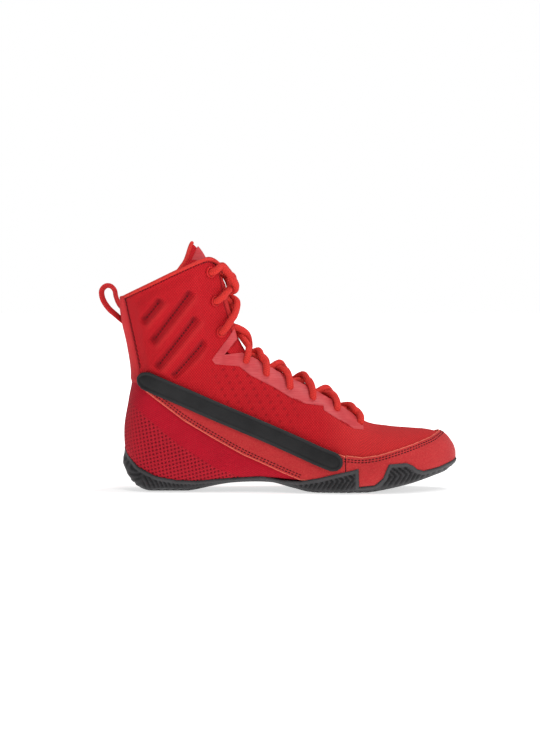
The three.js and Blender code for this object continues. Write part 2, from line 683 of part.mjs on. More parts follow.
function lacePath() {
  const holes = [...LACE_HOLES, ...RING_EYELETS].map(([x, z], row) => {
    const [u, angle] = locate(x, z);
    const over = row < LACE_HOLES.length ? CORD_OVER_FILM : CORD_OVER_RING;
    const isTop = row === LACE_HOLES.length + RING_EYELETS.length - 1;
    return { u, angle, over, under: isTop ? CORD_UNDER_COLLAR : CORD_UNDER };
  });
  const upThrough = (hole, side) => [
    [hole.u - 0.06, side * hole.angle, hole.under],
    [hole.u, side * hole.angle, -2.4],
    [hole.u, side * hole.angle, 2.4],
    [hole.u + 0.08, side * (hole.angle - 0.15), hole.over],
  ];
  const half = (side) => {
    const points = upThrough(holes[0], side);
    let here = side;
    for (let row = 1; row < holes.length; row += 1) {
      const [below, above] = [holes[row - 1], holes[row]];
      const { edge, middle, far } = row < LACE_HOLES.length ? LOW_CROSSING : SHAFT_CROSSING;
      const up = (share) => below.u + (above.u - below.u) * share;
      const crossing = CORD_CROSSINGS[here === (row % 2 ? LATERAL : MEDIAL) ? 0 : 1];
      points.push([up(edge), here * below.angle * OWN_EDGE, CORD_OVER_EDGE], [up(middle), 0, crossing]);
      here = -here;
      points.push([up(far), here * above.angle * FAR_EDGE, above.under], ...upThrough(above, here));
    }
    const top = holes[holes.length - 1];
    return [...points, ...LACE_TAIL.map(([down, angle, height]) => [top.u - down, here * angle, height])];
  };
  const points = [...half(LATERAL).reverse(), [holes[0].u, 0, CORD_UNDER], ...half(MEDIAL)];
  return new THREE.CatmullRomCurve3(points.map((p) => raised(...p)), false, 'centripetal');
}

// ---- pull tab: an arch of webbing, sewn at both ends to the back seam ----

function pullTab() {
  const arch = [
    [-6, 164.5], [-10, 171], [-14.5, 177], [-18.8, 173.5], [-17.8, 165.6], [-13, 158], [-5.2, 150.5],
  ];
  const spine = new THREE.CatmullRomCurve3(arch.map(([x, z]) => new THREE.Vector3(x, 0, z)));
  const [halfWidth, halfThickness] = [3.5, 0.8];
  return tube(spine, 18, halfWidth, halfThickness, 4);
}

for (const side of [LATERAL, MEDIAL]) {
  const name = SIDE_NAME[side];
  place(`quarter_${name}`, quarter(side), 'mesh');
  place(`side_strap_${name}`, overlay(STRAP_LOWER, STRAP_UPPER, side, 18, 3, LAYER_GAP, SUEDE), 'suede');
  place(`side_band_${name}`, sideBand(side), 'band');
  place(`eyestay_${name}`, eyestay(side), 'film');
  place(`ankle_pad_${name}`, anklePad(side), 'foam');
  place(`lining_${name}`, lining(side), 'lining');
  RING_EYELETS.forEach(([x, z], row) => {
    place(`ring_eyelet_${name}_${row + 1}`, ringEyelet(x, z, side), 'eyelet');
  });
}
place('vamp', vamp(), 'mesh');
place('heel_panel', heelPanel(), 'knit');
place('mudguard', mudguard(), 'suede');
place('back_strip', backStrip(), 'mesh');
place('heel_counter', heelCounter(), 'board');
place('toe_puff', toePuff(), 'board');
place('collar_binding', collarBinding(), 'mesh');
place('lace', tube(lacePath(), 250, LACE_RADIUS, LACE_RADIUS, 4), 'lace');
place('tongue_face', tongueSheet(0, 1, 1, -3, 0), 'mesh', tongueGroup);
place('tongue_lining', tongueSheet(0.01, 0.99, 0.96, -4.3, -3 - LAYER_GAP), 'lining', tongueGroup);
place('tongue_label', tongueSheet(0.86, 0.985, 0.4, LAYER_GAP, LAYER_GAP + 0.8), 'film', tongueGroup);
place('pull_tab', pullTab(), 'webbing', pullTabGroup);

export default boot;
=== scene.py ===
# The looks of a high boxing boot for the right foot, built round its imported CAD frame.
# Outlines are side-view [x, z] points in millimetres: x forwards from the upper's heel, z up from the ground.
import math
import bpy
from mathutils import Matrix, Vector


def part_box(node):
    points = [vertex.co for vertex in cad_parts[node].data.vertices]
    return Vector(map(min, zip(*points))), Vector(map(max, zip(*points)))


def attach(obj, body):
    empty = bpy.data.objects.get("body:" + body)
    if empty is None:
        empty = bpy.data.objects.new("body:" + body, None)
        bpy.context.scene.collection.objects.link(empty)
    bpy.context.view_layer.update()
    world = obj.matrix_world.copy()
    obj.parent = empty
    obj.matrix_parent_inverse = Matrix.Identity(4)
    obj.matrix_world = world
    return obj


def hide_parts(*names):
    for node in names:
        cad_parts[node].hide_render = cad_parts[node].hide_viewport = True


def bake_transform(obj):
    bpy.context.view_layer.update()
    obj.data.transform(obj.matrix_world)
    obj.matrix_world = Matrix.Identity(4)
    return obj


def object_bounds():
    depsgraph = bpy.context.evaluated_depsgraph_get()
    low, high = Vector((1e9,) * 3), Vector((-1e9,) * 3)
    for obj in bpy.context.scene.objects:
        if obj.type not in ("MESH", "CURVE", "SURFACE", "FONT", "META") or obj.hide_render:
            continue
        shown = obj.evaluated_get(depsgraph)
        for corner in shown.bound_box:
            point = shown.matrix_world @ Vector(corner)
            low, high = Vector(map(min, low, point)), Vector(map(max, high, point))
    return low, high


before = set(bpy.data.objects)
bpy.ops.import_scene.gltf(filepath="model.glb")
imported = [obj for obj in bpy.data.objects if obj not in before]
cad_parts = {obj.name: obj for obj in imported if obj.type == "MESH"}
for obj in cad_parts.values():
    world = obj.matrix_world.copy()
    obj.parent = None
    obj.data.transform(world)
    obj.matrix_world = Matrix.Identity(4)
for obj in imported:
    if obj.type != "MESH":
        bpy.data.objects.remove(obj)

from types import SimpleNamespace

import bpy
import numpy as np
from mathutils import Vector
from mathutils.geometry import delaunay_2d_cdt
from mathutils.kdtree import KDTree

CAD_LOW, CAD_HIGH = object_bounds()

# ---- driving dimensions, in millimetres ----

SOLE_REAR = -3.34  # the outsole's ends along the outlines' x, which tie the outlines to the frame
SOLE_FRONT = 292.73
MESH = 1.2  # thickness of the mesh upper
SUEDE = 1.2
FILM = 0.5
LAYER_GAP = 0.85  # clearance under an overlay
RUBBER = 5.0
ARCH_RUBBER = 2.0
OUTSOLE_BED = 2.75  # how far the rubber stands off the upper where it laps over the suede
EDGE_ROUNDING = 4  # how far the heel's ground face curves up towards its sides
HEEL_ROUND = 30  # radius at which patterns go round the heel's back
BAND_BASE = 3.25  # height of the band's underside above the upper
BAND_THICKNESS = 1.1
VAMP_PAINTED_HIGHLIGHT = 0.12  # painted highlight: how much lighter the mesh is over the toes, where the top light falls
CORD_RADIUS = 2.75
CORD_OVAL = (1.18, 1.05)  # the cord's half width and half height, in radii
STITCH = (2.3, 0.95, 0.8)  # length, width and height
STRAP_ROWS = (2.4, 4.4)  # how far the two rows of stitches lie from an edge
GUARD_ROWS = (2.5, 4.4)
HOLE_RADIUS = 3.2
LATERAL = -1
MEDIAL = 1
BOTH = (LATERAL, MEDIAL)
SIDE_NAME = {LATERAL: "lateral", MEDIAL: "medial"}

# Each section: its top x and z, bottom x and z, lateral y, medial y, the ridge's y, the share of the way down
# at which it is widest, and the powers of its crown and its base.
SECTIONS = np.array([
    [289, 33, 289, 28.5, 7, 7, 7, 0.6, 2, 2.5],
    [286.5, 40, 286.5, 25, -6, 19.5, 7, 0.6, 2, 3],
    [279, 48.7, 279, 21, -17.5, 28, 6.5, 0.62, 2.1, 3.5],
    [266.5, 52.8, 266.5, 17, -29, 34.5, 6, 0.62, 2.2, 4],
    [250, 54.3, 250, 11.8, -38.5, 39, 5, 0.62, 2.2, 4],
    [231, 56, 231, 7.4, -45, 42, 4, 0.62, 2.2, 4],
    [211, 60.5, 211, 4.2, -47.5, 43.5, 3, 0.66, 2.1, 4],
    [186, 80, 186, 3.6, -45.5, 43.5, 2, 0.72, 2, 4],
    [160, 96, 160, 4.2, -40, 40, 1, 0.76, 2, 4],
    [134, 109.3, 130, 9.7, -35, 36, 0, 0.76, 2, 4],
    [114, 121, 97, 9.4, -33, 34, 0, 0.76, 2, 4],
    [105, 131, 62, 4.6, -32.5, 33, 0, 0.74, 2, 4],
    [102.3, 141, 34, 3.7, -32.5, 32.5, 0, 0.72, 2, 3.6],
    [100, 151, 14, 9, -32, 32, 0, 0.68, 2, 3],
    [97.5, 160, 3.5, 29, -32, 32, 0, 0.64, 2, 2.6],
    [95.5, 168, 1, 54, -32.5, 32.5, 0, 0.6, 2, 2.4],
    [94.3, 176, 4.8, 79, -33, 33, 0, 0.57, 2, 2.3],
    [93.3, 184, 8.2, 101, -33.5, 33.5, 0, 0.55, 2, 2.3],
    [92.3, 192, 5, 126, -34.5, 34.5, 0, 0.53, 2, 2.2],
    [91, 200, 0.2, 148, -35.5, 35.5, 0, 0.52, 2, 2.2],
    [88.5, 209, -2.3, 168.5, -37, 37, 0, 0.52, 2, 2.2],
])
BOTTOM_X, BOTTOM_Z, LATERAL_Y, MEDIAL_Y, RIDGE_Y = range(2, 7)  # the columns that are used by name
COLLAR = len(SECTIONS) - 1
HEEL_SECTION = 13  # the first section whose bottom point is on the heel's back

BEHIND = -12  # x clear of the heel and of the toe, to which outlines that go round an end run on
AHEAD = 300
COLLAR_LINE = [(-6, 166.8), (24.4, 181), (49.5, 193), (68, 201), (76, 203), (84, 198.6), (87.8, 192)]
SHAFT_FRONT = [(90.4, 175.5), (91.4, 165.6), (95, 153), (100, 132.7)]
NOTCH = (88.7, 118.8)
FACING = [(104, 120.7), (116.6, 115), (129, 108), (140, 101.7), (159, 92.7), (171, 86), (182.6, 79.5),
          (198.5, 68.6), (209.4, 61.4)]
FILM_EDGE = [(209, 54.5), (201, 55.6), (185, 65), (174.6, 71.6), (174.4, 75), (159, 77), (147, 81.7),
             (131.7, 91), (111.6, 101), (101.6, 109), (81, 111), (78, 115), (93, 135)]
STRAP_LOWER = [(15, 93), (30, 81), (54, 62.5), (80.5, 46.7), (105.5, 33), (138, 19), (155, 12.5), (193, 12)]
STRAP_UPPER = [(18, 99), (30, 95), (47, 88.5), (72, 78), (97, 68.5), (120, 59.5), (156, 43.5), (193, 33)]
BAND_PATH = [(22, 97), (50, 84.5), (80, 71), (110, 58.5), (140, 46), (170, 33), (184, 27.5)]
BAND_HALF_WIDTH = 8
JOIN_X = 193.4  # where the straps end and the mudguard begins
GUARD_TOP = [(193.8, 33.5), (208, 31.7), (221, 33.3), (235, 37), (251, 41.5), (266, 46.5), (276, 51),
             (AHEAD, 60)]
UNDER_STRAP = [(BEHIND, 99), (16, 96), (30, 88), (54, 69), (80.5, 53), (105.5, 39.5), (138, 23), (158, 12)]
VAMP_SEAM = [(211, 64), (206, 45), (202, 25), (200, 8)]
FEATHER_LINE = [(AHEAD, 31), (286.5, 29), (279, 25), (266.5, 20.8), (250, 15.6), (231, 11), (205, 7.6),
                (186, 7.2), (160, 8.2), (130, 13.4), (97, 13), (80, 10.8), (62, 8.8), (34, 9), (14, 12),
                (BEHIND, 13)]
TOE_FEATHER = FEATHER_LINE[:7]
MIDFOOT_FEATHER = FEATHER_LINE[7:9]
HEEL_FEATHER = FEATHER_LINE[9:]
HEEL_CUP_TOP = [(BEHIND, 41), (0, 40.5), (1.4, 38), (4.6, 32), (13.7, 22.4), (30, 14.2), (47, 11), (64, 10.4)]
ARCH_RUBBER_TOP = [(89, 12.4), (120, 14.4), (140, 12.6), (155, 12)]
REAR_POD_TOP = [(171, 14.4), (182.5, 17.2), (198, 20.6), (204.5, 22.4), (205, 8)]
FRONT_POD_TOP = [(218, 9.4), (225, 15), (230, 26), (245, 26.8), (250, 24.6), (254, 21.6)]
TOE_WRAP_TOP = [(259.5, 20.4), (273.5, 23.2), (282, 26), (AHEAD, 32)]
OUTSOLE_TOP = [*HEEL_CUP_TOP, *ARCH_RUBBER_TOP, *REAR_POD_TOP, *FRONT_POD_TOP, *TOE_WRAP_TOP]
BACK_SEAM = [(2.4, 171), (3.2, 165.6), (6.2, 151), (11, 129), (17, 99.7), (17.8, 96)]
LACE_HOLES = [(206, 59.8), (186, 72), (165.3, 82), (145.5, 91), (125, 102.4), (107.4, 113.5)]
RING_EYELETS = [(86, 138.5), (81, 165.6), (77, 190.5)]
TONGUE_SPINE = [(202, 57), (183, 73), (157, 88.5), (131, 102.5), (112, 115.5), (103.2, 127), (96.2, 140),
                (89.5, 153), (82.8, 168), (78, 184), (74.5, 196), (69, 207), (61.5, 216.5)]
TONGUE_BOW = 58  # how strongly the tongue's sides curve back, over its round
TONGUE_ROUND = 33
TONGUE_PADDING = 3  # thickness of the tongue's face
TONGUE_FOLD = 19  # how far the sides of the tongue's tip fold back from its middle
PULL_TAB_ARCH = [(1, 157), (-3.4, 162.5), (-6, 169), (-7.2, 174.5), (-10.5, 178), (-14.6, 178.2),
                 (-18.2, 174.4), (-17.6, 167.3), (-12.6, 159), (-5, 152), (1.5, 146.5)]
PAD_GROOVES = [((20, 149.5), (33.4, 165.6)), ((28.2, 132.4), (59.2, 172.2)), ((31.8, 110.1), (63.7, 149.9)),
               ((46, 101.4), (71, 129.2))]
PADDED_AREA = [(9, 163), (14, 128), (19, 104), (46, 95), (74, 112), (78, 140), (70, 162), (66, 194),
               (24, 175)]
PAD_PUFF = 1.5
DOT_ZONE_EDGE = [(8, 77.6), (49, 42.5), (80.5, 22.4), (108, 12)]
DOT_ROW_SLANT = -34  # degrees from +X
DOT_PITCH = (4.2, 2.4)

# ---- the frame ----

sole_low, sole_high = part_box("outsole")
MM = (sole_high.x - sole_low.x) / (SOLE_FRONT - SOLE_REAR)
HEEL_X = sole_low.x - SOLE_REAR * MM


def to_frame(points):
    """Points in the outlines' millimetres, as metres in the row frame."""
    return np.asarray(points, float) * MM + np.array([HEEL_X, 0, 0])


# ---- the boot's surface: section u from 0 at the toe, angle 0 on the top line and pi on the bottom line ----


def section_at(u):
    first = np.clip(np.floor(u).astype(int), 0, COLLAR - 1)
    t = (u - first)[..., None]
    a, b, c, d = (SECTIONS[np.clip(first + k, 0, COLLAR)] for k in (-1, 0, 1, 2))
    curve = 2 * b + (c - a) * t + (2 * a - 5 * b + 4 * c - d) * t**2 + (3 * b - a - 3 * c + d) * t**3
    return curve / 2


def surface(u, angle):
    u, angle = np.broadcast_arrays(np.asarray(u, float), np.asarray(angle, float))
    angle = np.where(u < 0, -angle, angle)
    values = np.moveaxis(section_at(np.abs(u)), -1, 0)
    top_x, top_z, bottom_x, bottom_z, lateral, medial, ridge, widest, crown, base = values
    cosine = np.cos(angle)
    sine = np.sin(angle)
    power = np.where(cosine > 0, crown, base)
    radius = (np.abs(cosine) ** power + np.abs(sine) ** power) ** (-1 / power)
    reach = np.where(cosine > 0, widest, 1 - widest)
    drop = widest - cosine * radius * reach
    side = np.where(sine < 0, lateral, medial)
    x = top_x + (bottom_x - top_x) * drop
    y = ridge + (side - ridge) * np.abs(sine) * radius
    z = top_z + (bottom_z - top_z) * drop
    return np.stack([x, y, z], -1)


def unrolled_x(x, y, z):
    """x with the heel's curved back laid out flat, so that patterns keep their pitch round it."""
    back = SECTIONS[HEEL_SECTION:]
    rear = np.interp(z, back[:, BOTTOM_Z], back[:, BOTTOM_X])
    turn = np.arctan2(np.maximum(1 - (x - rear) / HEEL_ROUND, 0), np.abs(y) / HEEL_ROUND)
    return np.where(x < rear + HEEL_ROUND, rear + HEEL_ROUND * (1 - turn), x)


def swell_to(distance, reach):
    """0 to 1 along a quarter circle, over a distance from an edge."""
    return np.sqrt(1 - (1 - np.clip(distance / reach, 0, 1)) ** 2)


def unit(vectors):
    return vectors / np.maximum(np.linalg.norm(vectors, axis=-1, keepdims=True), 1e-9)


def normal_at(u, angle):
    step = 0.04
    u = np.maximum(np.asarray(u, float), step)
    along = surface(np.minimum(u + step, COLLAR), angle) - surface(u - step, angle)
    around = surface(u, angle + step) - surface(u, angle - step)
    return unit(np.cross(around, along))


def raised(u, angle, height):
    return surface(u, angle) + normal_at(u, angle) * np.broadcast_to(height, np.shape(u))[..., None]


def locate(points):
    """Section and angle (0 to pi) of the surface points that side view shows at [x, z]."""
    x, z = np.asarray(points, float).T
    low = np.zeros(len(x))
    high = np.full(len(x), float(COLLAR))
    halvings = 40
    for _ in range(halvings):
        middle = (low + high) / 2
        top_x, top_z, bottom_x, bottom_z = section_at(middle).T[: BOTTOM_Z + 1]
        ahead = (bottom_x - top_x) * (z - top_z) - (bottom_z - top_z) * (x - top_x)
        low = np.where(ahead < 0, middle, low)
        high = np.where(ahead < 0, high, middle)
    top_x, top_z, bottom_x, bottom_z, _, _, _, widest, crown, base = section_at(low).T
    run_x = bottom_x - top_x
    run_z = bottom_z - top_z
    drop = ((x - top_x) * run_x + (z - top_z) * run_z) / (run_x**2 + run_z**2)
    above = drop < widest
    reach = np.where(above, widest, 1 - widest)
    power = np.where(above, crown, base)
    level = np.clip((widest - drop) / reach, -1, 1)
    return low, np.arctan2((1 - np.abs(level) ** power) ** (1 / power), level)


# A flat map of one half of the surface, in millimetres: along it, then share of the way round it.
RING_COUNT = 401
RING_POINTS = 241
FLAT_HEIGHT = 150
RING_U = np.linspace(0, COLLAR, RING_COUNT)
RING_ANGLE = np.linspace(0, np.pi, RING_POINTS)
rings = surface(RING_U[:, None], RING_ANGLE[None, :])
ring_steps = np.linalg.norm(np.diff(rings, axis=1), axis=2)
RING_ARC = np.concatenate([np.zeros((RING_COUNT, 1)), np.cumsum(ring_steps, axis=1)], axis=1)
RING_LENGTH = RING_ARC[:, -1]
RING_SHARE = RING_ARC / RING_LENGTH[:, None]
longest_steps = np.linalg.norm(np.diff(rings, axis=0), axis=2).max(axis=1)
RING_ALONG = np.concatenate([[0], np.cumsum(longest_steps)])
even_share = np.linspace(0, 1, RING_POINTS)
ANGLE_AT_SHARE = np.array([np.interp(even_share, row, RING_ANGLE) for row in RING_SHARE])


def look_up(table, row, column):
    """A table's value at fractional rows and columns."""
    i = np.clip(np.floor(row).astype(int), 0, table.shape[0] - 2)
    j = np.clip(np.floor(column).astype(int), 0, table.shape[1] - 2)
    f = row - i
    g = column - j
    near = table[i, j] * (1 - g) + table[i, j + 1] * g
    far = table[i + 1, j] * (1 - g) + table[i + 1, j + 1] * g
    return near * (1 - f) + far * f


def flatten(u, angle):
    share = look_up(RING_SHARE, u * (RING_COUNT - 1) / COLLAR, angle * (RING_POINTS - 1) / np.pi)
    return np.stack([np.interp(u, RING_U, RING_ALONG), share * FLAT_HEIGHT], -1)


def unflatten(points):
    u = np.interp(points[:, 0], RING_ALONG, RING_U)
    column = points[:, 1] / FLAT_HEIGHT * (RING_POINTS - 1)
    return u, look_up(ANGLE_AT_SHARE, u * (RING_COUNT - 1) / COLLAR, column)


# ---- outlines ----

RIM_SPACING = 1.1  # between a panel's border points
EDGE_SPACING = 0.6  # between the points that a panel's edge distance is measured to
EDGE_INSETS = (0.35, 0.8)
CLOSE = 0.05  # spacing at which a side-view line still crosses the top of the toe in small steps


def smooth_step(start, end, value):
    t = np.clip((value - start) / (end - start), 0, 1)
    return t * t * (3 - 2 * t)


def hump(value, middle, width, power=2):
    """1 at the middle, falling off to 0 on both sides."""
    return np.exp(-(((value - middle) / width) ** power))


def flat_swell(across, power):
    """1 over the middle, falling to 0 at -1 and at 1, more steeply with a higher power."""
    return np.sqrt(np.maximum(1 - np.abs(across) ** power, 0))


def lengths_along(path):
    """The length walked from a path's first point to each of its points."""
    return np.concatenate([[0], np.cumsum(np.linalg.norm(np.diff(path, axis=0), axis=1))])


def taken_at(values, walked, at):
    """Rows of values, taken at given lengths along their path."""
    return np.stack([np.interp(at, walked, column) for column in values.T], -1)


def densified(points, spacing, closed=False):
    """The polyline with extra points, so that none are further apart than spacing."""
    points = np.asarray(points, float)
    ends = np.vstack([points, points[:1]]) if closed else points
    out = []
    for a, b in zip(ends[:-1], ends[1:]):
        count = max(int(np.ceil(np.linalg.norm(b - a) / spacing)), 1)
        out.append(a + (b - a) * np.arange(count)[:, None] / count)
    if not closed:
        out.append(ends[-1:])
    return np.vstack(out)


def evenly(points, spacing):
    """Points at even spacing along a polyline."""
    points = np.asarray(points, float)
    walked = lengths_along(points)
    count = max(int(round(walked[-1] / spacing)), 2)
    return taken_at(points, walked, np.linspace(0, walked[-1], count + 1))


def smooth_path(points, spacing):
    """A centripetal Catmull-Rom curve through the points, at even spacing."""
    points = np.asarray(points, float)
    padded = np.vstack([2 * points[0] - points[1], points, 2 * points[-1] - points[-2]])
    steps = 24
    t = np.linspace(0, 1, steps, endpoint=False)[:, None]
    pieces = []
    for k in range(len(points) - 1):
        p0, p1, p2, p3 = padded[k : k + 4]
        gaps = [max(np.linalg.norm(q - p) ** 0.5, 1e-4) for p, q in ((p0, p1), (p1, p2), (p2, p3))]
        t1 = gaps[0]
        t2 = t1 + gaps[1]
        t3 = t2 + gaps[2]
        at = t1 + (t2 - t1) * t
        a1 = p0 * (t1 - at) / t1 + p1 * at / t1
        a2 = p1 * (t2 - at) / gaps[1] + p2 * (at - t1) / gaps[1]
        a3 = p2 * (t3 - at) / gaps[2] + p3 * (at - t2) / gaps[2]
        b1 = a1 * (t2 - at) / t2 + a2 * at / t2
        b2 = a2 * (t3 - at) / (t3 - t1) + a3 * (at - t1) / (t3 - t1)
        pieces.append(b1 * (t2 - at) / gaps[1] + b2 * (at - t1) / gaps[1])
    pieces.append(points[-1:])
    return evenly(np.vstack(pieces), spacing)


def outline_on_surface(outline, spacing):
    """Side-view points round an outline, with all its corners, at even spacing along the surface itself."""
    closely = densified(outline, CLOSE, closed=True)
    walked = lengths_along(surface(*locate(closely)))
    corner = (closely[:, None] == np.asarray(outline, float)).all(axis=-1).any(axis=1)
    stepped = np.diff(np.floor(walked / spacing), prepend=-1) > 0
    return closely[corner | stepped]


def offset_line(points, distance):
    """The side-view polyline moved to its left by a distance."""
    points = np.asarray(points, float)
    direction = unit(np.gradient(points, axis=0))
    return points + distance * np.stack([-direction[:, 1], direction[:, 0]], -1)


def inside(polygon, points):
    """Which 2D points lie inside a closed polygon."""
    x, y = points.T
    result = np.zeros(len(points), bool)
    for (ax, ay), (bx, by) in zip(polygon, np.roll(polygon, -1, axis=0)):
        if ay == by:
            continue
        crosses = (ay > y) != (by > y)
        result ^= crosses & (x < ax + (bx - ax) * (y - ay) / (by - ay))
    return result


def distance_to_line(points, line):
    """Shortest distance of each 2D point to a polyline."""
    best = np.full(len(points), np.inf)
    for a, b in zip(np.asarray(line[:-1], float), np.asarray(line[1:], float)):
        t = np.clip(((points - a) @ (b - a)) / ((b - a) @ (b - a)), 0, 1)
        best = np.minimum(best, np.linalg.norm(points - a - t[:, None] * (b - a), axis=1))
    return best


def nearest_distance(points, targets):
    tree = KDTree(len(targets))
    for k, target in enumerate(targets):
        tree.insert(Vector(target), k)
    tree.balance()
    return np.array([tree.find(Vector(p))[2] for p in points])


def stagger_distance(a, b, pitch_a, pitch_b):
    """Distance to the nearest point of a staggered grid."""
    row = np.round(b / pitch_b)
    column = a / pitch_a - 0.5 * (row % 2)
    return np.hypot((column - np.round(column)) * pitch_a, b - row * pitch_b)


# ---- meshes ----

UV_SCALE = 100  # millimetres to one unit of the uv map


def new_object(name, vertices, faces, uv=None, shade=None, light=None, sharp_deg=55):
    """A mesh object from points in the outlines' millimetres. shade and light darken and lighten it by its
    points, mostly as painted shade and painted highlights.
    """
    mesh = bpy.data.meshes.new(name)
    mesh.from_pydata(to_frame(vertices).tolist(), [], [list(map(int, f)) for f in faces])
    mesh.shade_smooth()
    mesh.set_sharp_from_angle(angle=math.radians(sharp_deg))
    corner = np.zeros(len(mesh.loops), int)
    mesh.loops.foreach_get("vertex_index", corner)
    flat = np.asarray(vertices)[:, [0, 2]] if uv is None else np.asarray(uv)
    layer = mesh.uv_layers.new(name="UVMap")
    layer.data.foreach_set("uv", (flat[corner] / UV_SCALE).astype(np.float32).ravel())
    for label, values in (("shade", shade), ("light", light)):
        attribute = mesh.attributes.new(label, "FLOAT", "POINT")
        filled = np.zeros(len(vertices)) if values is None else values
        attribute.data.foreach_set("value", np.asarray(filled, np.float32))
    obj = bpy.data.objects.new(name, mesh)
    bpy.context.scene.collection.objects.link(obj)
    return obj


def dress(obj, material, body="boot", nodes=()):
    obj.data.materials.append(material)
    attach(obj, body)
    if nodes:
        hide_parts(*nodes)
    return obj


def walls(triangles, count):
    """Quads that join a sheet's open edges to a copy of its points, count further on."""
    edges = np.vstack([triangles[:, [0, 1]], triangles[:, [1, 2]], triangles[:, [2, 0]]])
    keys = np.sort(edges, axis=1)
    _, index, uses = np.unique(keys, axis=0, return_inverse=True, return_counts=True)
    open_edges = edges[uses[index.ravel()] == 1]
    a, b = open_edges.T
    return np.stack([b, a, a + count, b + count], -1)


def staggered_grid(border, spacing, fine):
    """Points in rows over the flat map inside a border: all where fine wants detail, else every few."""
    wants_detail, pitch = fine or (None, spacing)
    coarse = max(int(round(spacing / pitch)), 1)
    grid = []
    lows = border.min(axis=0)
    highs = border.max(axis=0)
    for i, along in enumerate(np.arange(lows[0] + pitch / 2, highs[0], pitch)):
        length = np.interp(along, RING_ALONG, RING_LENGTH)
        count = max(int(round(length / pitch)), 4)
        steps = np.arange(count) + (0.5 if i % 2 else 0)
        row = np.stack([np.full(count, along), steps / count * FLAT_HEIGHT], -1)
        if coarse > 1:
            wanted = wants_detail(surface(*unflatten(row)))
            row = row[wanted | ((i % coarse == 0) & (np.arange(count) % coarse == 0))]
        grid.append(row)
    grid = np.vstack(grid)
    return grid[inside(border, grid)]


def rows_inside(rim):
    """Rows of points just inside a side-view rim, which let an edge be rounded."""
    before_and_after = np.vstack([rim[-1:], rim, rim[:1]])
    rows = []
    for inset in EDGE_INSETS:
        moved = offset_line(before_and_after, inset)[1:-1]
        turn = 1 if inside(rim, moved[:1])[0] else -1
        moved = offset_line(before_and_after, inset * turn)[1:-1]
        moved = moved[distance_to_line(moved, np.vstack([rim, rim[:1]])) > 0.8 * inset]
        moved = moved[inside(rim, moved)]
        rows.append(flatten(*locate(moved)))
    rows = np.vstack(rows)
    margin = 0.2
    off_the_seams = (rows[:, 1] > margin) & (rows[:, 1] < FLAT_HEIGHT - margin) & (rows[:, 0] > margin)
    return rows[off_the_seams]


def clear_of(points, others, gap):
    """The 2D points that are further than a gap from all the others."""
    level_points, level_others = (np.c_[flat, np.zeros(len(flat))] for flat in (points, others))
    return points[nearest_distance(level_points, level_others) > gap]


def flat_triangles(outline, spacing, fine=None):
    """Points in the flat map, and triangles between them, that fill a side-view outline. fine is a test that
    says which surface points want detail, and their spacing."""
    rim = outline_on_surface(outline, RIM_SPACING)
    border = flatten(*locate(rim))
    border = border[np.linalg.norm(border - np.roll(border, 1, axis=0), axis=1) > 0.1]
    pitch = spacing if fine is None else fine[1]
    inner = rows_inside(rim)
    grid = clear_of(staggered_grid(border, spacing, fine), border, 0.45 * pitch)
    grid = clear_of(grid, inner, 0.3 * pitch)
    points = np.vstack([border, inner, grid])
    count = len(border)
    loop = [(k, (k + 1) % count) for k in range(count)]
    tolerance = 1e-5
    found, _, faces, _, _, _ = delaunay_2d_cdt([Vector(p) for p in points], loop, [], 0, tolerance)
    found = np.array([list(v) for v in found])
    triangles = np.array([f for f in faces if len(f) == 3])
    centres = found[triangles].mean(axis=1)
    return found, triangles[inside(border, centres)]


def edge_distance(u, angle, outline, soft):
    """Distance of surface points to an outline, where the outline is a real edge of a panel."""
    rim = outline_on_surface(outline, EDGE_SPACING)
    rim_u, rim_angle = locate(rim)
    margin = 0.01
    real = (rim_angle > margin) & (rim_angle < np.pi - margin) & (rim_u > margin)
    if soft is not None:
        real &= ~soft(rim)
    return nearest_distance(surface(u, angle), surface(rim_u, rim_angle)[real])


def welded(u, angle, edge, triangles):
    """The points and triangles of a sheet after its halves are joined, with the triangles facing out."""
    points = surface(u, angle)
    _, first, merged = np.unique(np.round(points, 3), axis=0, return_index=True, return_inverse=True)
    u, angle, edge, points = u[first], angle[first], edge[first], points[first]
    triangles = merged.ravel()[triangles]
    triangles = triangles[(triangles != np.roll(triangles, 1, axis=1)).all(axis=1)]
    normal = normal_at(u, angle)
    a, b, c = (points[triangles[:, k]] for k in range(3))
    facing = np.einsum("ij,ij->i", np.cross(b - a, c - a), normal[triangles].sum(axis=1))
    triangles[facing < 0] = triangles[facing < 0][:, ::-1]
    x, y, z = points.T
    return SimpleNamespace(u=u, angle=angle, edge=edge, normal=normal, x=x, y=y, z=z), points, triangles


def ground_height(points):
    """How high the heel's ground face curves up towards its sides."""
    return EDGE_ROUNDING * smooth_step(8, 30, np.abs(points[:, 1])) * (1 - smooth_step(80, 110, points[:, 0]))


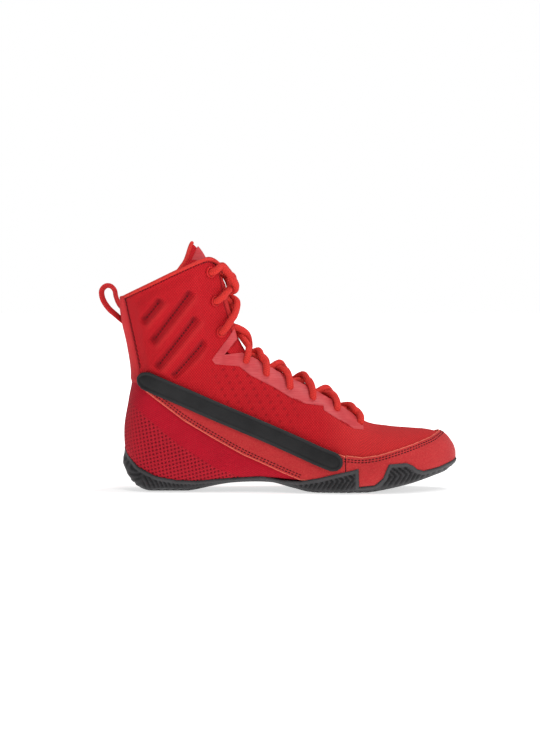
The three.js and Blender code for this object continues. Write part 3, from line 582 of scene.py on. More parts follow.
def panel(
    name, outline, sides, shape, spacing=1.6, fine=None, soft=None, ground=False, wrap=False, holes=()
):
    """A layer of the boot inside a side-view outline. shape(spot) gives its inner and outer heights, its
    shade and light, and its dents' depth. soft(points) says where a border isn't a real edge. ground keeps it
    above the ground, wrap measures its uv round the foot, and holes are (centres, radius) to cut out."""
    flat, triangles = flat_triangles(outline, spacing, fine)
    u, angle = unflatten(flat)
    edge = edge_distance(u, angle, outline, soft)
    triangles = np.vstack([triangles + len(u) * half for half in range(len(sides))])
    angle = np.concatenate([angle * side for side in sides])
    spot, points, triangles = welded(np.tile(u, len(sides)), angle, np.tile(edge, len(sides)), triangles)
    u, angle, normal = spot.u, spot.angle, spot.normal
    for hole_points, radius in holes:
        centre = points[triangles].mean(axis=1)
        near = nearest_distance(centre, hole_points) < radius
        triangles = triangles[~near]
    made = {"shade": 0, "light": 0, "dent": 0, **shape(spot)}
    made = {key: np.broadcast_to(value, u.shape) for key, value in made.items()}
    outer = points + normal * made["high"][:, None]
    if ground:
        outer[:, 2] = np.maximum(outer[:, 2], ground_height(outer))
    outer -= normal * made["dent"][:, None]
    inner = points + normal * made["low"][:, None]
    if wrap:
        share = look_up(RING_ARC, u * (RING_COUNT - 1) / COLLAR, np.abs(angle) * (RING_POINTS - 1) / np.pi)
        uv = np.stack([spot.x, share * np.sign(angle)], -1)
    else:
        uv = np.stack([unrolled_x(spot.x, spot.y, spot.z), spot.z], -1)
    faces = [*triangles, *(triangles[:, ::-1] + len(u)), *walls(triangles, len(u))]
    shade = np.tile(made["shade"], 2)
    light = np.tile(made["light"], 2)
    return new_object(name, np.vstack([outer, inner]), faces, np.vstack([uv, uv]), shade, light)


def grid_faces(columns, rows, wrap_rows=False):
    """Quads of a grid of columns by rows points."""
    i, j = np.meshgrid(np.arange(columns - 1), np.arange(rows if wrap_rows else rows - 1), indexing="ij")
    following = (j + 1) % rows
    corners = [i * rows + j, (i + 1) * rows + j, (i + 1) * rows + following, i * rows + following]
    return np.stack(corners, -1).reshape(-1, 4)


def closed_sheet(outer, inner):
    """Vertices and faces of a closed body between two equal grids of points."""
    columns, rows = outer.shape[:2]
    quads = grid_faces(columns, rows)
    triangles = np.vstack([quads[:, [0, 1, 2]], quads[:, [0, 2, 3]]])
    rim = walls(triangles, columns * rows)
    faces = [*quads, *(quads[:, ::-1] + columns * rows), *rim]
    vertices = np.vstack([outer.reshape(-1, 3), inner.reshape(-1, 3)])
    middle = outer[columns // 2, rows // 2]
    q = quads[len(quads) // 2]
    across = np.cross(vertices[q[1]] - vertices[q[0]], vertices[q[3]] - vertices[q[0]])
    if across @ (middle - inner[columns // 2, rows // 2]) < 0:
        faces = [f[::-1] for f in faces]
    return vertices, faces


def sheet(name, at, columns, rows, inner, outer, rounding=1.0):
    """A layer over a grid rule at(i, j) of sections and angles, with its edges rounded off."""
    i, j = np.meshgrid(np.linspace(0, 1, columns), np.linspace(0, 1, rows), indexing="ij")
    u, angle = at(i, j)
    low = inner(u) if callable(inner) else np.full(u.shape, float(inner))
    high = outer(u) if callable(outer) else np.full(u.shape, float(outer))
    ends = np.minimum(np.minimum(i, 1 - i) * columns, np.minimum(j, 1 - j) * rows) / 3
    swell = swell_to(ends, 1) * rounding + (1 - rounding)
    middle = (low + high) / 2
    half = (high - low) / 2 * (0.35 + 0.65 * swell)
    vertices, faces = closed_sheet(raised(u, angle, middle + half), raised(u, angle, middle - half))
    return new_object(name, vertices, faces)


def sweep(path, half_width, half_height, facets, across=None, rib_pitch=0, rib_depth=0):
    """Vertices, faces and uv of an oval swept along a path, its ends closed. across is its width's
    direction."""
    tangent = unit(np.gradient(path, axis=0))
    widths = np.zeros_like(path)
    if across is None:
        carried = np.cross(tangent[0], [0.3, 0.9, 0.1])  # any direction that isn't along the path
        for k, t in enumerate(tangent):
            carried = unit(carried - t * (carried @ t))
            widths[k] = carried
    else:
        given = np.broadcast_to(across, path.shape)
        widths = unit(given - tangent * np.einsum("ij,ij->i", given, tangent)[:, None])
    heights = np.cross(tangent, widths)
    walked = lengths_along(path)
    turn = 2 * np.pi * np.arange(facets) / facets
    scale = np.ones(len(path))
    if rib_pitch:
        scale = 1 - rib_depth * np.abs(np.sin(np.pi * walked / rib_pitch))
    half_width = np.broadcast_to(half_width, (len(path),)) * scale
    half_height = np.broadcast_to(half_height, (len(path),)) * scale
    sideways = widths[:, None, :] * (half_width[:, None] * np.cos(turn))[..., None]
    upwards = heights[:, None, :] * (half_height[:, None] * np.sin(turn))[..., None]
    points = path[:, None, :] + sideways + upwards
    count = len(path)
    faces = [*grid_faces(count, facets, wrap_rows=True)]
    faces = [f[::-1] for f in faces]
    faces.append(list(range(facets))[::-1])
    faces.append([(count - 1) * facets + k for k in range(facets)])
    uv = np.stack(np.broadcast_arrays(turn[None, :] * np.mean(half_width), walked[:, None]), -1)
    return points.reshape(-1, 3), faces, uv.reshape(-1, 2)


def ovals(centres, along, normal, sizes):
    """Vertices and faces of small ovals, each sizes = (length, width, height) across."""
    facets = 8
    levels = 4
    polar = np.pi * np.arange(1, levels) / levels
    turn = 2 * np.pi * np.arange(facets) / facets
    ring = [[np.cos(p), np.sin(p) * np.cos(t), np.sin(p) * np.sin(t)] for p in polar for t in turn]
    template = np.vstack([[[1, 0, 0]], ring, [[-1, 0, 0]]])
    last = len(template) - 1
    quads = grid_faces(levels - 1, facets, wrap_rows=True) + 1
    caps = [[0, 1 + (k + 1) % facets, 1 + k] for k in range(facets)]
    caps += [[last, last - facets + k, last - facets + (k + 1) % facets] for k in range(facets)]
    along = unit(along)
    normal = unit(normal - along * np.einsum("ij,ij->i", normal, along)[:, None])
    across = np.cross(normal, along)
    half = np.asarray(sizes, float) / 2
    vertices = []
    faces = []
    for k, (centre, a, b, c) in enumerate(zip(centres, along, across, normal)):
        vertices.append(centre + template @ np.stack([a * half[0], b * half[1], c * half[2]]))
        shift = k * len(template)
        faces += [list(q + shift) for q in quads]
        faces += [[v + shift for v in cap] for cap in caps]
    return np.vstack(vertices), faces


def inset_on_surface(u, angle, inset):
    """Sections and angles moved sideways on the surface: up, if they run forwards on the medial side."""
    step = 0.02
    rounds = 8
    spots = surface(u, angle)
    target = spots + inset * unit(np.cross(np.gradient(spots, axis=0), normal_at(u, angle)))

    def product(a, b):
        return (a * b).sum(axis=-1)

    for _ in range(rounds):
        by_u = (surface(u + step, angle) - surface(u - step, angle)) / (2 * step)
        by_angle = (surface(u, angle + step) - surface(u, angle - step)) / (2 * step)
        left = target - surface(u, angle)
        uu = product(by_u, by_u)
        ua = product(by_u, by_angle)
        aa = product(by_angle, by_angle)
        pu = product(by_u, left)
        pa = product(by_angle, left)
        scale = np.maximum(uu * aa - ua**2, 1e-9)
        u, angle = u + (aa * pu - ua * pa) / scale, angle + (uu * pa - ua * pu) / scale
    return u, angle


def stitch_spots(line, side, inset, height, pitch):
    """Centres, directions and normals of stitches, an inset above a side-view line that runs forwards."""
    u, angle = locate(smooth_path(line, CLOSE))
    middle_gap = 0.012  # angle left free at the top line, where the two sides' rows meet
    on_side = angle > middle_gap
    u, angle = inset_on_surface(u[on_side], side * angle[on_side], side * inset)
    walk = raised(u, angle, height)
    walked = lengths_along(walk)
    at = np.arange(pitch / 2, walked[-1], pitch)
    centres = taken_at(walk, walked, at)
    return centres, np.gradient(centres, axis=0), taken_at(normal_at(u, angle), walked, at)


def beads(name, rows, sizes, material, body="boot"):
    """One piece of small ovals, such as stitches, from rows of (centres, directions, normals)."""
    centres, along, normal = (np.vstack(v) for v in zip(*rows))
    dress(new_object(name, *ovals(centres, along, normal, sizes)), material, body)


def stitches(name, lines, sides, height, pitch=3.0):
    """One piece of dark stitches along side-view lines with their insets."""
    rows = [stitch_spots(line, side, inset, height, pitch) for side in sides for line, inset in lines]
    beads(name, rows, STITCH, THREAD_DARK)


# ---- materials ----

SPECULAR = 0.16
BUMP_STRENGTH = 0.6


def linear(colour):
    """An sRGB colour out of 255 as a linear one."""
    c = np.asarray(colour, float) / 255
    values = np.where(c <= 0.04045, c / 12.92, ((c + 0.055) / 1.055) ** 2.4)
    return (*map(float, values), 1.0)


class Graph:
    """A node material, with short ways to add nodes."""

    def __init__(self, name):
        self.material = bpy.data.materials.new(name)
        self.material.use_nodes = True
        self.tree = self.material.node_tree
        self.shader = self.tree.nodes["Principled BSDF"]
        self.uv = self.node("ShaderNodeTexCoord").outputs["UV"]
        self.place = self.node("ShaderNodeTexCoord").outputs["Object"]

    def node(self, kind, **settings):
        made = self.tree.nodes.new(kind)
        for key, value in settings.items():
            setattr(made, key, value)
        return made

    def put(self, socket, value):
        if isinstance(value, bpy.types.NodeSocket):
            self.tree.links.new(value, socket)
        else:
            socket.default_value = value

    def math(self, operation, a, b=0.0, clamp=False):
        made = self.node("ShaderNodeMath", operation=operation, use_clamp=clamp)
        self.put(made.inputs[0], a)
        self.put(made.inputs[1], b)
        return made.outputs[0]

    def mix(self, factor, a, b, blend="MIX"):
        made = self.node("ShaderNodeMix", data_type="RGBA", blend_type=blend)
        self.put(made.inputs[0], factor)
        self.put(made.inputs[6], a)
        self.put(made.inputs[7], b)
        return made.outputs[2]

    def attribute(self, name):
        return self.node("ShaderNodeAttribute", attribute_name=name).outputs["Fac"]

    def noise(self, size_mm, detail=2.0, stretch=(1, 1, 1), roughness=0.5):
        """Noise whose grains are about size_mm across, longer where stretch is over 1."""
        mapping = self.node("ShaderNodeMapping")
        self.put(mapping.inputs["Vector"], self.place)
        mapping.inputs["Scale"].default_value = tuple(1 / s for s in stretch)
        made = self.node("ShaderNodeTexNoise")
        self.put(made.inputs["Vector"], mapping.outputs[0])
        made.inputs["Scale"].default_value = 1 / (size_mm * MM)
        made.inputs["Detail"].default_value = detail
        made.inputs["Roughness"].default_value = roughness
        return made.outputs["Fac"]

    def wave(self, pitch_mm, turn_deg):
        """Ridges from 0 to 1 across a direction of the uv map."""
        reach = 2 * np.pi * UV_SCALE / pitch_mm
        made = self.node("ShaderNodeVectorMath", operation="DOT_PRODUCT")
        self.put(made.inputs[0], self.uv)
        turn = math.radians(turn_deg)
        made.inputs[1].default_value = (math.cos(turn) * reach, math.sin(turn) * reach, 0)
        sine = self.math("SINE", made.outputs["Value"])
        return self.math("ADD", self.math("MULTIPLY", sine, 0.5), 0.5)

    def weave(self, pitch_mm, turn_deg):
        return self.math("MULTIPLY", self.wave(pitch_mm, turn_deg), self.wave(pitch_mm, -turn_deg))

    def ramp(self, value, low, high):
        """value from low to high, spread over 0 to 1."""
        made = self.node("ShaderNodeMapRange")
        self.put(made.inputs["Value"], value)
        made.inputs["From Min"].default_value = low
        made.inputs["From Max"].default_value = high
        return made.outputs["Result"]

    def finish(self, colour, height, bump_mm, roughness, sheen=0.0, coat=0.0):
        self.put(self.shader.inputs["Base Color"], colour)
        self.put(self.shader.inputs["Roughness"], roughness)
        self.shader.inputs["Specular IOR Level"].default_value = SPECULAR
        self.shader.inputs["Sheen Weight"].default_value = sheen
        self.shader.inputs["Sheen Roughness"].default_value = 0.5
        self.shader.inputs["Coat Weight"].default_value = coat
        self.shader.inputs["Coat Roughness"].default_value = 0.35
        bump = self.node("ShaderNodeBump")
        bump.inputs["Strength"].default_value = BUMP_STRENGTH
        bump.inputs["Distance"].default_value = bump_mm * MM
        self.put(bump.inputs["Height"], height)
        self.put(self.shader.inputs["Normal"], bump.outputs[0])
        return self.material

    def marked(self, colour, dark, bright):
        """The colour with the mesh's shade and light attributes laid over it: painted shade and painted
        highlights, besides some pieces' dark seams and paler raw edges.
        """
        shaded = self.mix(self.attribute("shade"), colour, dark)
        return self.mix(self.attribute("light"), shaded, bright)


def fabric(name, thread, gap, pitch, turn, dark, bright, bump=0.3, roughness=0.85, contrast=0.4, sheen=0.04):
    """Woven or knitted cloth: threads crossing at plus and minus turn, with uneven colour."""
    g = Graph(name)
    height = g.weave(pitch, turn)
    fuzz = g.noise(0.7, detail=3)
    clouds = g.ramp(g.noise(22, detail=3), 0.3, 0.7)
    threads = g.mix(g.ramp(height, 0.0, 0.45), linear(gap), linear(thread))
    plain = g.mix(contrast, linear(thread), threads)
    varied = g.mix(g.math("MULTIPLY", clouds, 0.16), plain, linear(gap))
    specked = g.mix(g.math("MULTIPLY", g.ramp(fuzz, 0.55, 0.8), 0.22), varied, linear(bright))
    colour = g.marked(specked, linear(dark), linear(bright))
    relief = g.math("ADD", height, g.math("MULTIPLY", fuzz, 0.5))
    return g.finish(colour, relief, bump, roughness, sheen)


def suede(name, base, dark, bright):
    g = Graph(name)
    nap = g.noise(0.55, detail=4, roughness=0.7)
    grain = g.noise(2.2, detail=3)
    clouds = g.ramp(g.noise(26, detail=2), 0.3, 0.7)
    varied = g.mix(g.math("MULTIPLY", clouds, 0.3), linear(base), linear(dark))
    napped = g.mix(g.math("MULTIPLY", g.ramp(nap, 0.45, 0.75), 0.3), varied, linear(bright))
    worn = g.mix(g.math("MULTIPLY", g.ramp(grain, 0.5, 0.75), 0.2), napped, linear(dark))
    relief = g.math("ADD", nap, grain)
    return g.finish(g.marked(worn, linear(dark), linear(bright)), relief, 0.35, 0.95, sheen=0.08)


def film(name, base, dark, bright):
    """A thin fused film with fine brushed lines."""
    g = Graph(name)
    lines = g.noise(0.8, detail=3, stretch=(14, 14, 1))
    clouds = g.noise(12, detail=2)
    streaked = g.mix(g.math("MULTIPLY", g.ramp(lines, 0.35, 0.7), 0.4), linear(base), linear(bright))
    varied = g.mix(g.math("MULTIPLY", g.ramp(clouds, 0.4, 0.7), 0.3), streaked, linear(dark))
    roughness = g.math("ADD", g.math("MULTIPLY", lines, 0.2), 0.35)
    return g.finish(g.marked(varied, linear(dark), linear(bright)), lines, 0.15, roughness, coat=0.1)


def moulding(name, base, dark, bright, roughness, grain_mm, bump):
    """Moulded rubber or plastic with pale dusty specks in its grain, lighter where the piece's light
    attribute says, as along the raised rims of the outsole and the band.
    """
    g = Graph(name)
    grain = g.noise(grain_mm, detail=3)
    clouds = g.noise(18, detail=2)
    varied = g.mix(g.math("MULTIPLY", g.ramp(clouds, 0.4, 0.7), 0.4), linear(base), linear(dark))
    dusty = g.mix(g.math("MULTIPLY", g.ramp(grain, 0.6, 0.8), 0.2), varied, linear(bright))
    polish = g.math("ADD", g.math("MULTIPLY", grain, 0.25), roughness - 0.12)
    return g.finish(g.marked(dusty, linear(dark), linear(bright)), grain, bump, polish)


RED_MESH = fabric("red mesh", (208, 26, 36), (138, 4, 20), 1.7, 40, (95, 4, 18), (232, 96, 84), contrast=0.6)
RED_KNIT = fabric("heel knit", (192, 14, 40), (122, 4, 24), 1.5, 62, (84, 4, 20), (226, 84, 84))
STRIP_MESH = fabric("back strip mesh", (226, 54, 58), (160, 16, 32), 1.5, 35, (80, 2, 16), (235, 100, 90))
BINDING = fabric("collar binding", (226, 62, 54), (170, 20, 34), 1.3, 60, (90, 4, 18), (240, 112, 92))
SUEDE_RED = suede("red suede", (190, 44, 50), (150, 14, 30), (240, 128, 104))
FILM_PINK = film("fused film", (198, 62, 68), (168, 34, 46), (220, 104, 104))
BLACK_BAND = moulding("moulded band", (40, 40, 41), (20, 20, 21), (84, 86, 88), 0.5, 0.7, 0.12)
RUBBER_BLACK = moulding("outsole rubber", (60, 59, 61), (14, 14, 15), (112, 112, 113), 0.5, 1.0, 0.1)
LACE_CLOTH = fabric("lace cord", (226, 58, 50), (160, 14, 28), 1.3, 72, (110, 4, 20), (246, 132, 100))
WEBBING = fabric("pull tab webbing", (214, 52, 52), (160, 16, 32), 1.6, 78, (110, 6, 22), (236, 110, 96))
LINING = fabric("lining", (150, 16, 34), (88, 6, 20), 1.6, 45, (50, 2, 10), (196, 56, 64))
FOAM = moulding("foam", (216, 210, 200), (190, 182, 170), (232, 228, 220), 0.95, 0.9, 0.4)
BOARD = moulding("board", (206, 197, 180), (178, 168, 150), (224, 218, 204), 0.9, 0.6, 0.2)
EYELET = moulding("enamelled eyelet", (206, 34, 38), (120, 6, 20), (240, 110, 90), 0.4, 0.8, 0.05)
THREAD_DARK = fabric("dark thread", (56, 4, 16), (30, 2, 8), 0.6, 60, (30, 2, 8), (110, 20, 34), bump=0.1)
THREAD_RED = fabric("red thread", (206, 16, 34), (130, 4, 20), 0.6, 60, (90, 2, 14), (230, 60, 60), bump=0.1)
# dark ovals of painted shade that stand in for the grooves' perforations
HOLE_PAINTED_SHADE = moulding("perforation", (60, 20, 28), (34, 6, 12), (100, 50, 56), 0.8, 0.5, 0.05)

# ---- sole ----


def heel_share(x):
    """1 under the heel, falling to 0 in front of the arch."""
    arch_x = 90
    softness = 14
    return 1 / (1 + np.exp((x - arch_x) / softness))


def tread_relief(spot):
    """Depth of the grooves in the outsole's side: swirls and hatching at the heel, chevrons on the pods."""
    x, z = spot.x, spot.z

    def grooves(phase, pitch, width):
        place = np.abs((phase / pitch) % 1 - 0.5) * pitch
        return 1 - smooth_step(width * 0.3, width * 0.75, place)

    def zone(start, end, soft=3):
        return smooth_step(start, start + soft, x) * (1 - smooth_step(end - soft, end, x))

    def chevrons(spine_z, start, end):
        return 1.25 * grooves(x + 1.1 * np.abs(z - spine_z), pitch=4.4, width=2.3) * zone(start, end)

    swirl = grooves(np.hypot(x - 14, z - 24), pitch=3.1, width=1.6) * zone(-20, 20)
    hatch = grooves(x + 0.75 * z, pitch=3.3, width=1.7) * zone(18, 82)
    rear_pod = chevrons(9 + (x - 155) * 0.12, 150, 203)
    front_pod = chevrons(15.5 + (x - 225) * 0.15, 220, 262)
    ticks = grooves(x - 0.7 * z, pitch=4.2, width=1.8) * zone(260, 290)
    side_facing = 1 - smooth_step(0.75, 0.95, -spot.normal[:, 2])
    inside_rim = smooth_step(2.6, 3.4, spot.edge)
    return (swirl + hatch + rear_pod + front_pod + ticks) * inside_rim * side_facing


def ground_relief(spot):
    """Depth of the herringbone under the heel and the ball."""
    bone = 16
    pitch = 6
    zig = np.abs((spot.y / bone) % 1 - 0.5) * bone
    line = np.abs(((spot.x + zig) / pitch) % 1 - 0.5) * pitch
    under = smooth_step(0.9, 0.99, -spot.normal[:, 2])
    heel = 1 - smooth_step(66, 76, spot.x)
    ball = smooth_step(140, 150, spot.x) * (1 - smooth_step(262, 272, spot.x))
    return (1 - smooth_step(0.6, 1.3, line)) * under * (heel + ball) * smooth_step(5, 8, spot.edge)


def outsole_shape(spot):
    arch_u = 9.6
    arch = hump(spot.u, arch_u, 1.5, power=4)
    thickness = RUBBER + (ARCH_RUBBER - RUBBER) * arch
    rounded = swell_to(spot.edge, 0.9)
    at_rear = 1 - smooth_step(4, 20, spot.x)
    rim = smooth_step(0.2, 1.0, spot.edge) * (1 - smooth_step(2.2, 3.2, spot.edge))
    over_suede = smooth_step(118, 150, spot.x)
    low = 0.1 + (OUTSOLE_BED - 0.7) * over_suede
    thickness = np.maximum(thickness, low + 1.2)
    top_edge = 1.5 - 1.15 * at_rear + 1.7 * over_suede
    full = top_edge - low + (thickness - top_edge) * smooth_step(0, 13, spot.edge)
    side = tread_relief(spot)
    under = ground_relief(spot)
    return {
        "low": low,
        "high": low + full * (0.5 + 0.5 * rounded) + 0.3 * rim * (1 - at_rear),
        "dent": side * (1 - 0.8 * at_rear) + 1.1 * under,
        # painted shade in the tread's grooves, on the sides and under the sole
        "shade": np.clip(side + under, 0, 1) * 0.85,
        "light": rim * 0.16,
    }


def outsole():
    outline = [*OUTSOLE_TOP, (AHEAD, 0), (BEHIND, 0)]

    def on_the_side(points):
        return points[:, 2] < 34

    piece = panel("outsole_rubber", outline, BOTH, outsole_shape, spacing=2.0, fine=(on_the_side, 1.0),
                  ground=True, wrap=True)
    dress(piece, RUBBER_BLACK, nodes=("outsole",))


def bottom_section(x):
    """The section whose bottom line is at x."""
    at = np.linspace(0, HEEL_SECTION + 0.5, 700)
    return section_at(np.interp(-x, -section_at(at)[:, BOTTOM_X], at))


def sole_plate(name, node, ends, share, low, high, material):
    """A sole-shaped plate between two heights above the upper's bottom line, with rounded edges. ends are its
    x at the heel and at the toe, and share is its width as a share of the boot's."""
    heel_x, toe_x = ends
    heel_round = 34
    stations = 70
    rows = 21
    x = heel_x + (toe_x - heel_x) * (0.5 - 0.5 * np.cos(np.pi * np.linspace(0, 1, stations)))
    section = bottom_section(x)
    ridge = section[:, RIDGE_Y, None]
    upper_z = section[:, BOTTOM_Z]
    behind = np.clip((heel_x + heel_round - x) / heel_round, 0, 1)
    rounding = np.sqrt(np.maximum(1 - behind**2, 0.04))
    across = np.sin(np.linspace(-np.pi / 2, np.pi / 2, rows))[None, :]
    reach = np.where(across < 0, ridge - section[:, LATERAL_Y, None], section[:, MEDIAL_Y, None] - ridge)
    y = ridge + across * reach * (share * rounding)[:, None]
    grid_x = np.broadcast_to(x[:, None], y.shape)
    bottom = (upper_z + low(x))[:, None]
    top = (upper_z + high(x))[:, None]
    swell = 0.35 + 0.65 * flat_swell(across, 6)
    middle = (bottom + top) / 2
    half = (top - bottom) / 2 * swell
    outer = np.stack([grid_x, y, middle + half], -1)
    inner = np.stack([grid_x, y, middle - half], -1)
    dress(new_object(name, *closed_sheet(outer, inner)), material, nodes=(node,))


def sole_plates():
    gap = 0.35
    board = 1.2
    sockliner = 3

    def midsole_bottom(x):
        return np.full(len(x), -0.8)

    def midsole_top(x):
        return 0.2 + 4.2 * heel_share(x)

    def board_bottom(x):
        return midsole_top(x) + gap

    def board_top(x):
        return board_bottom(x) + board

    def sockliner_bottom(x):
        return board_top(x) + gap

    def sockliner_top(x):
        return sockliner_bottom(x) + sockliner

    sole_plate("midsole_foam", "midsole", (18, 258), 0.52, midsole_bottom, midsole_top, FOAM)
    sole_plate("strobel_board_sheet", "strobel_board", (18, 264), 0.66, board_bottom, board_top, BOARD)
    sole_plate("sockliner_pad", "sockliner", (20, 264), 0.66, sockliner_bottom, sockliner_top, LINING)


# ---- mesh upper ----


def groove_relief(points):
    """Height, painted shade and painted highlight of the padded ankle's grooves, each with a ridge on its
    lower front side.
    """
    valley_depth = 3.1
    ridge_height = 1.1
    height = np.zeros(len(points))
    shade = np.zeros(len(points))
    light = np.zeros(len(points))
    for start, end in PAD_GROOVES:
        a = np.array(start, float)
        run = np.array(end, float) - a
        length = np.linalg.norm(run)
        run /= length
        along = (points - a) @ run
        beyond = np.maximum(np.maximum(-along, along - length), 0)
        across = (points - a) @ np.array([run[1], -run[0]])
        away = np.hypot(across, beyond * 1.4)
        valley = hump(away, 0, 3.5, power=3)
        ridge = hump(across, 6.2, 2.4) * hump(beyond, 0, 4)
        height += ridge_height * ridge - valley_depth * valley
        at_ends = hump(np.minimum(along, length - along), 0, 4)
        # Painted shade on each valley's upper side, darkest at its ends, and a painted highlight along the
        # ridge.
        shade += (0.4 + 0.3 * at_ends) * hump(across, -0.8, 2.6) * hump(beyond, 0, 2)
        light += 0.07 * ridge
    return height, np.clip(shade, 0, 1), light


def padding(points):
    """How far the padded ankle stands out, from 0 outside it to 1."""
    area = np.array(PADDED_AREA, float)
    depth = distance_to_line(points, np.vstack([area, area[:1]]))
    return np.where(inside(area, points), smooth_step(0, 8, depth), 0)


def padded_relief(points):
    """Height, painted shade and painted highlight of the padded ankle with its grooves."""
    puff = padding(points)
    groove, shade, light = groove_relief(points)
    return PAD_PUFF * puff + groove * smooth_step(0, 0.6, puff), shade * puff, light * puff


def quarter_shape(spot):
    points = np.stack([spot.x, spot.z], -1)
    padded, groove_painted_shade, groove_painted_highlight = padded_relief(points)
    dimple = 1 - smooth_step(0.6, 2.0, stagger_distance(spot.x - 0.35 * spot.z, spot.z, 9.2, 5.6))
    dimple *= smooth_step(72, 88, spot.x) * (1 - smooth_step(140, 165, spot.x))
    dimple *= smooth_step(48, 62, spot.z) * (1 - smooth_step(118, 132, spot.z))
    front = distance_to_line(points, [COLLAR_LINE[-1], *SHAFT_FRONT])
    seam = hump(front, 3.4, 0.55)
    binding = 1 - smooth_step(2.6, 3.2, front)
    above_notch = spot.z > 128
    # light: the paler binding strip, the grooves' painted highlight, and the vamp's painted highlight blended
    # in towards the toes
    light = 0.18 * binding * above_notch + groove_painted_highlight + VAMP_PAINTED_HIGHLIGHT * smooth_step(165, 205, spot.x)
    rounded = 0.5 * (swell_to(spot.edge, 0.8) - 1)
    return {
        "low": np.minimum(padded, 0) - MESH,
        "high": rounded + padded + 0.35 * binding - 0.3 * dimple - 0.35 * seam,
        # shade: painted shade in the grooves and in the dimples' hollows, and the dark front seam
        "shade": np.clip(groove_painted_shade + 0.36 * dimple + 0.7 * seam, 0, 0.9),
        "light": light,
    }


def hole_spots(spots, side):
    u, angle = locate(spots)
    return surface(u, angle * side)


def vamp_border(points):
    """The flush join between quarter and vamp, which isn't a visible edge."""
    return distance_to_line(points, VAMP_SEAM) < 3


def quarter(side):
    name = SIDE_NAME[side]
    top = [(x, z - 2.6) for x, z in COLLAR_LINE[:-2]]
    front = [(80.5, 197.5), (84.5, 190), *SHAFT_FRONT, NOTCH, *FACING, *VAMP_SEAM[1:]]
    outline = [*top, *front, *MIDFOOT_FEATHER, *UNDER_STRAP[1:][::-1], (BEHIND, 98.5)]

    def needs_detail(points):
        x = points[:, 0]
        return inside(np.array(PADDED_AREA, float), points[:, [0, 2]]) | ((x > 76) & (x < 160))

    holes = [(hole_spots(LACE_HOLES, side), HOLE_RADIUS - 0.3), (hole_spots(RING_EYELETS, side), 3.4)]
    piece = panel(f"quarter_{name}_mesh", outline, (side,), quarter_shape, spacing=2.0,
                  fine=(needs_detail, 1.0), soft=vamp_border, holes=holes)
    dress(piece, RED_MESH, nodes=(f"quarter_{name}",))


def vamp_shape(spot):
    creases = 0.25 * np.sin(spot.x / 5 + spot.y / 9) * hump(spot.x, 205, 16)
    seam_x, seam_z = np.transpose(VAMP_SEAM[::-1])
    tucked = 1 - smooth_step(-0.6, 0.4, spot.x - np.interp(spot.z, seam_z, seam_x))
    # The vamp is painted lighter, as a highlight where the top light falls on the toes.
    return {"low": -MESH, "high": creases * (1 - tucked) - 0.15 * tucked, "light": VAMP_PAINTED_HIGHLIGHT}


def vamp():
    tucked_edge = [(x - 2, z) for x, z in VAMP_SEAM]
    outline = [*tucked_edge, *TOE_FEATHER[::-1], (AHEAD, 90), (209, 90)]
    piece = panel("vamp_mesh", outline, BOTH, vamp_shape, spacing=1.8, soft=vamp_border, wrap=True)
    dress(piece, RED_MESH, nodes=("vamp",))


def below_dot_edge(x, z):
    """How far a side-view point is under the upper edge of the heel's open knit."""
    edge_x, edge_z = np.transpose(DOT_ZONE_EDGE)
    return np.interp(x, edge_x, edge_z) - z


def knit_zone(spot):
    """1 inside the heel's zone of open knit and 0 outside it, fainter at the rear."""
    return smooth_step(-1, 2, below_dot_edge(spot.x, spot.z)) * (0.5 + 0.5 * smooth_step(4, 22, spot.x))


def knit_dots(spot):
    """Pits of the open knit, in staggered rows."""
    points = np.stack([unrolled_x(spot.x, spot.y, spot.z), spot.z], -1)
    within = knit_zone(spot)
    slant = math.radians(DOT_ROW_SLANT)
    along = points @ np.array([math.cos(slant), math.sin(slant)])
    up = points @ np.array([-math.sin(slant), math.cos(slant)])
    return (1 - smooth_step(0.4, 1.25, stagger_distance(along, up, *DOT_PITCH))) * within


def heel_shape(spot):
    pits = knit_dots(spot)
    return {
        "low": -MESH,
        "high": -0.6 * pits,
        # painted shade in the knit's pits, and a painted highlight on the knit between them
        "shade": 0.95 * pits,
        "light": 0.08 * (1 - pits) * (knit_zone(spot) > 0.5),
    }


def heel_panel():
    top = [(x - 0.35, z - 1.05) for x, z in UNDER_STRAP]
    outline = [*top[:-1], (154, 11.5), *HEEL_FEATHER]

    def dotted(points):
        x, _, z = points.T
        return (below_dot_edge(x, z) > -3) & (x < 110)

    piece = panel("heel_panel_knit", outline, BOTH, heel_shape, spacing=1.4, fine=(dotted, 0.7))
    dress(piece, RED_KNIT, nodes=("heel_panel",))


def groove_perforations(side):
    """The small holes along the bottom of each ankle groove, as dark ovals of painted shade."""
    rows = []
    for start, end in PAD_GROOVES:
        spots = evenly([start, end], 3.0)[1:-1]
        u, angle = locate(spots)
        centres = raised(u, angle * side, padded_relief(spots)[0] + 0.3)
        rows.append((centres, np.gradient(centres, axis=0), normal_at(u, angle * side)))
    beads(f"groove_perforations_{SIDE_NAME[side]}", rows, (1.7, 1.2, 0.9), HOLE_PAINTED_SHADE)


# ---- overlays ----


def at_heel_end(spot):
    """1 where the strap and the band end behind the ankle, falling to 0 in front of there."""
    return 1 - smooth_step(13, 34, spot.x)


def overlay_shape(base, thickness, rounding=0.6, raw_edge=0.9, bright=0.75):
    """A flat layer with rounded cut edges, lighter partly for the raw edge's own paler fibres and partly as a
    painted highlight where the edge catches the light.
    """

    def shape(spot):
        low = base * (1 - 0.8 * at_heel_end(spot))
        lift = thickness * (1 - 0.4 * at_heel_end(spot))
        return {
            "low": low,
            "high": low + lift * (0.5 + 0.5 * swell_to(spot.edge, rounding)),
            # lighter raw edge: the fibres' own paler colour and a painted highlight
            "light": bright * (1 - smooth_step(raw_edge * 0.6, raw_edge, spot.edge)),
        }

    return shape


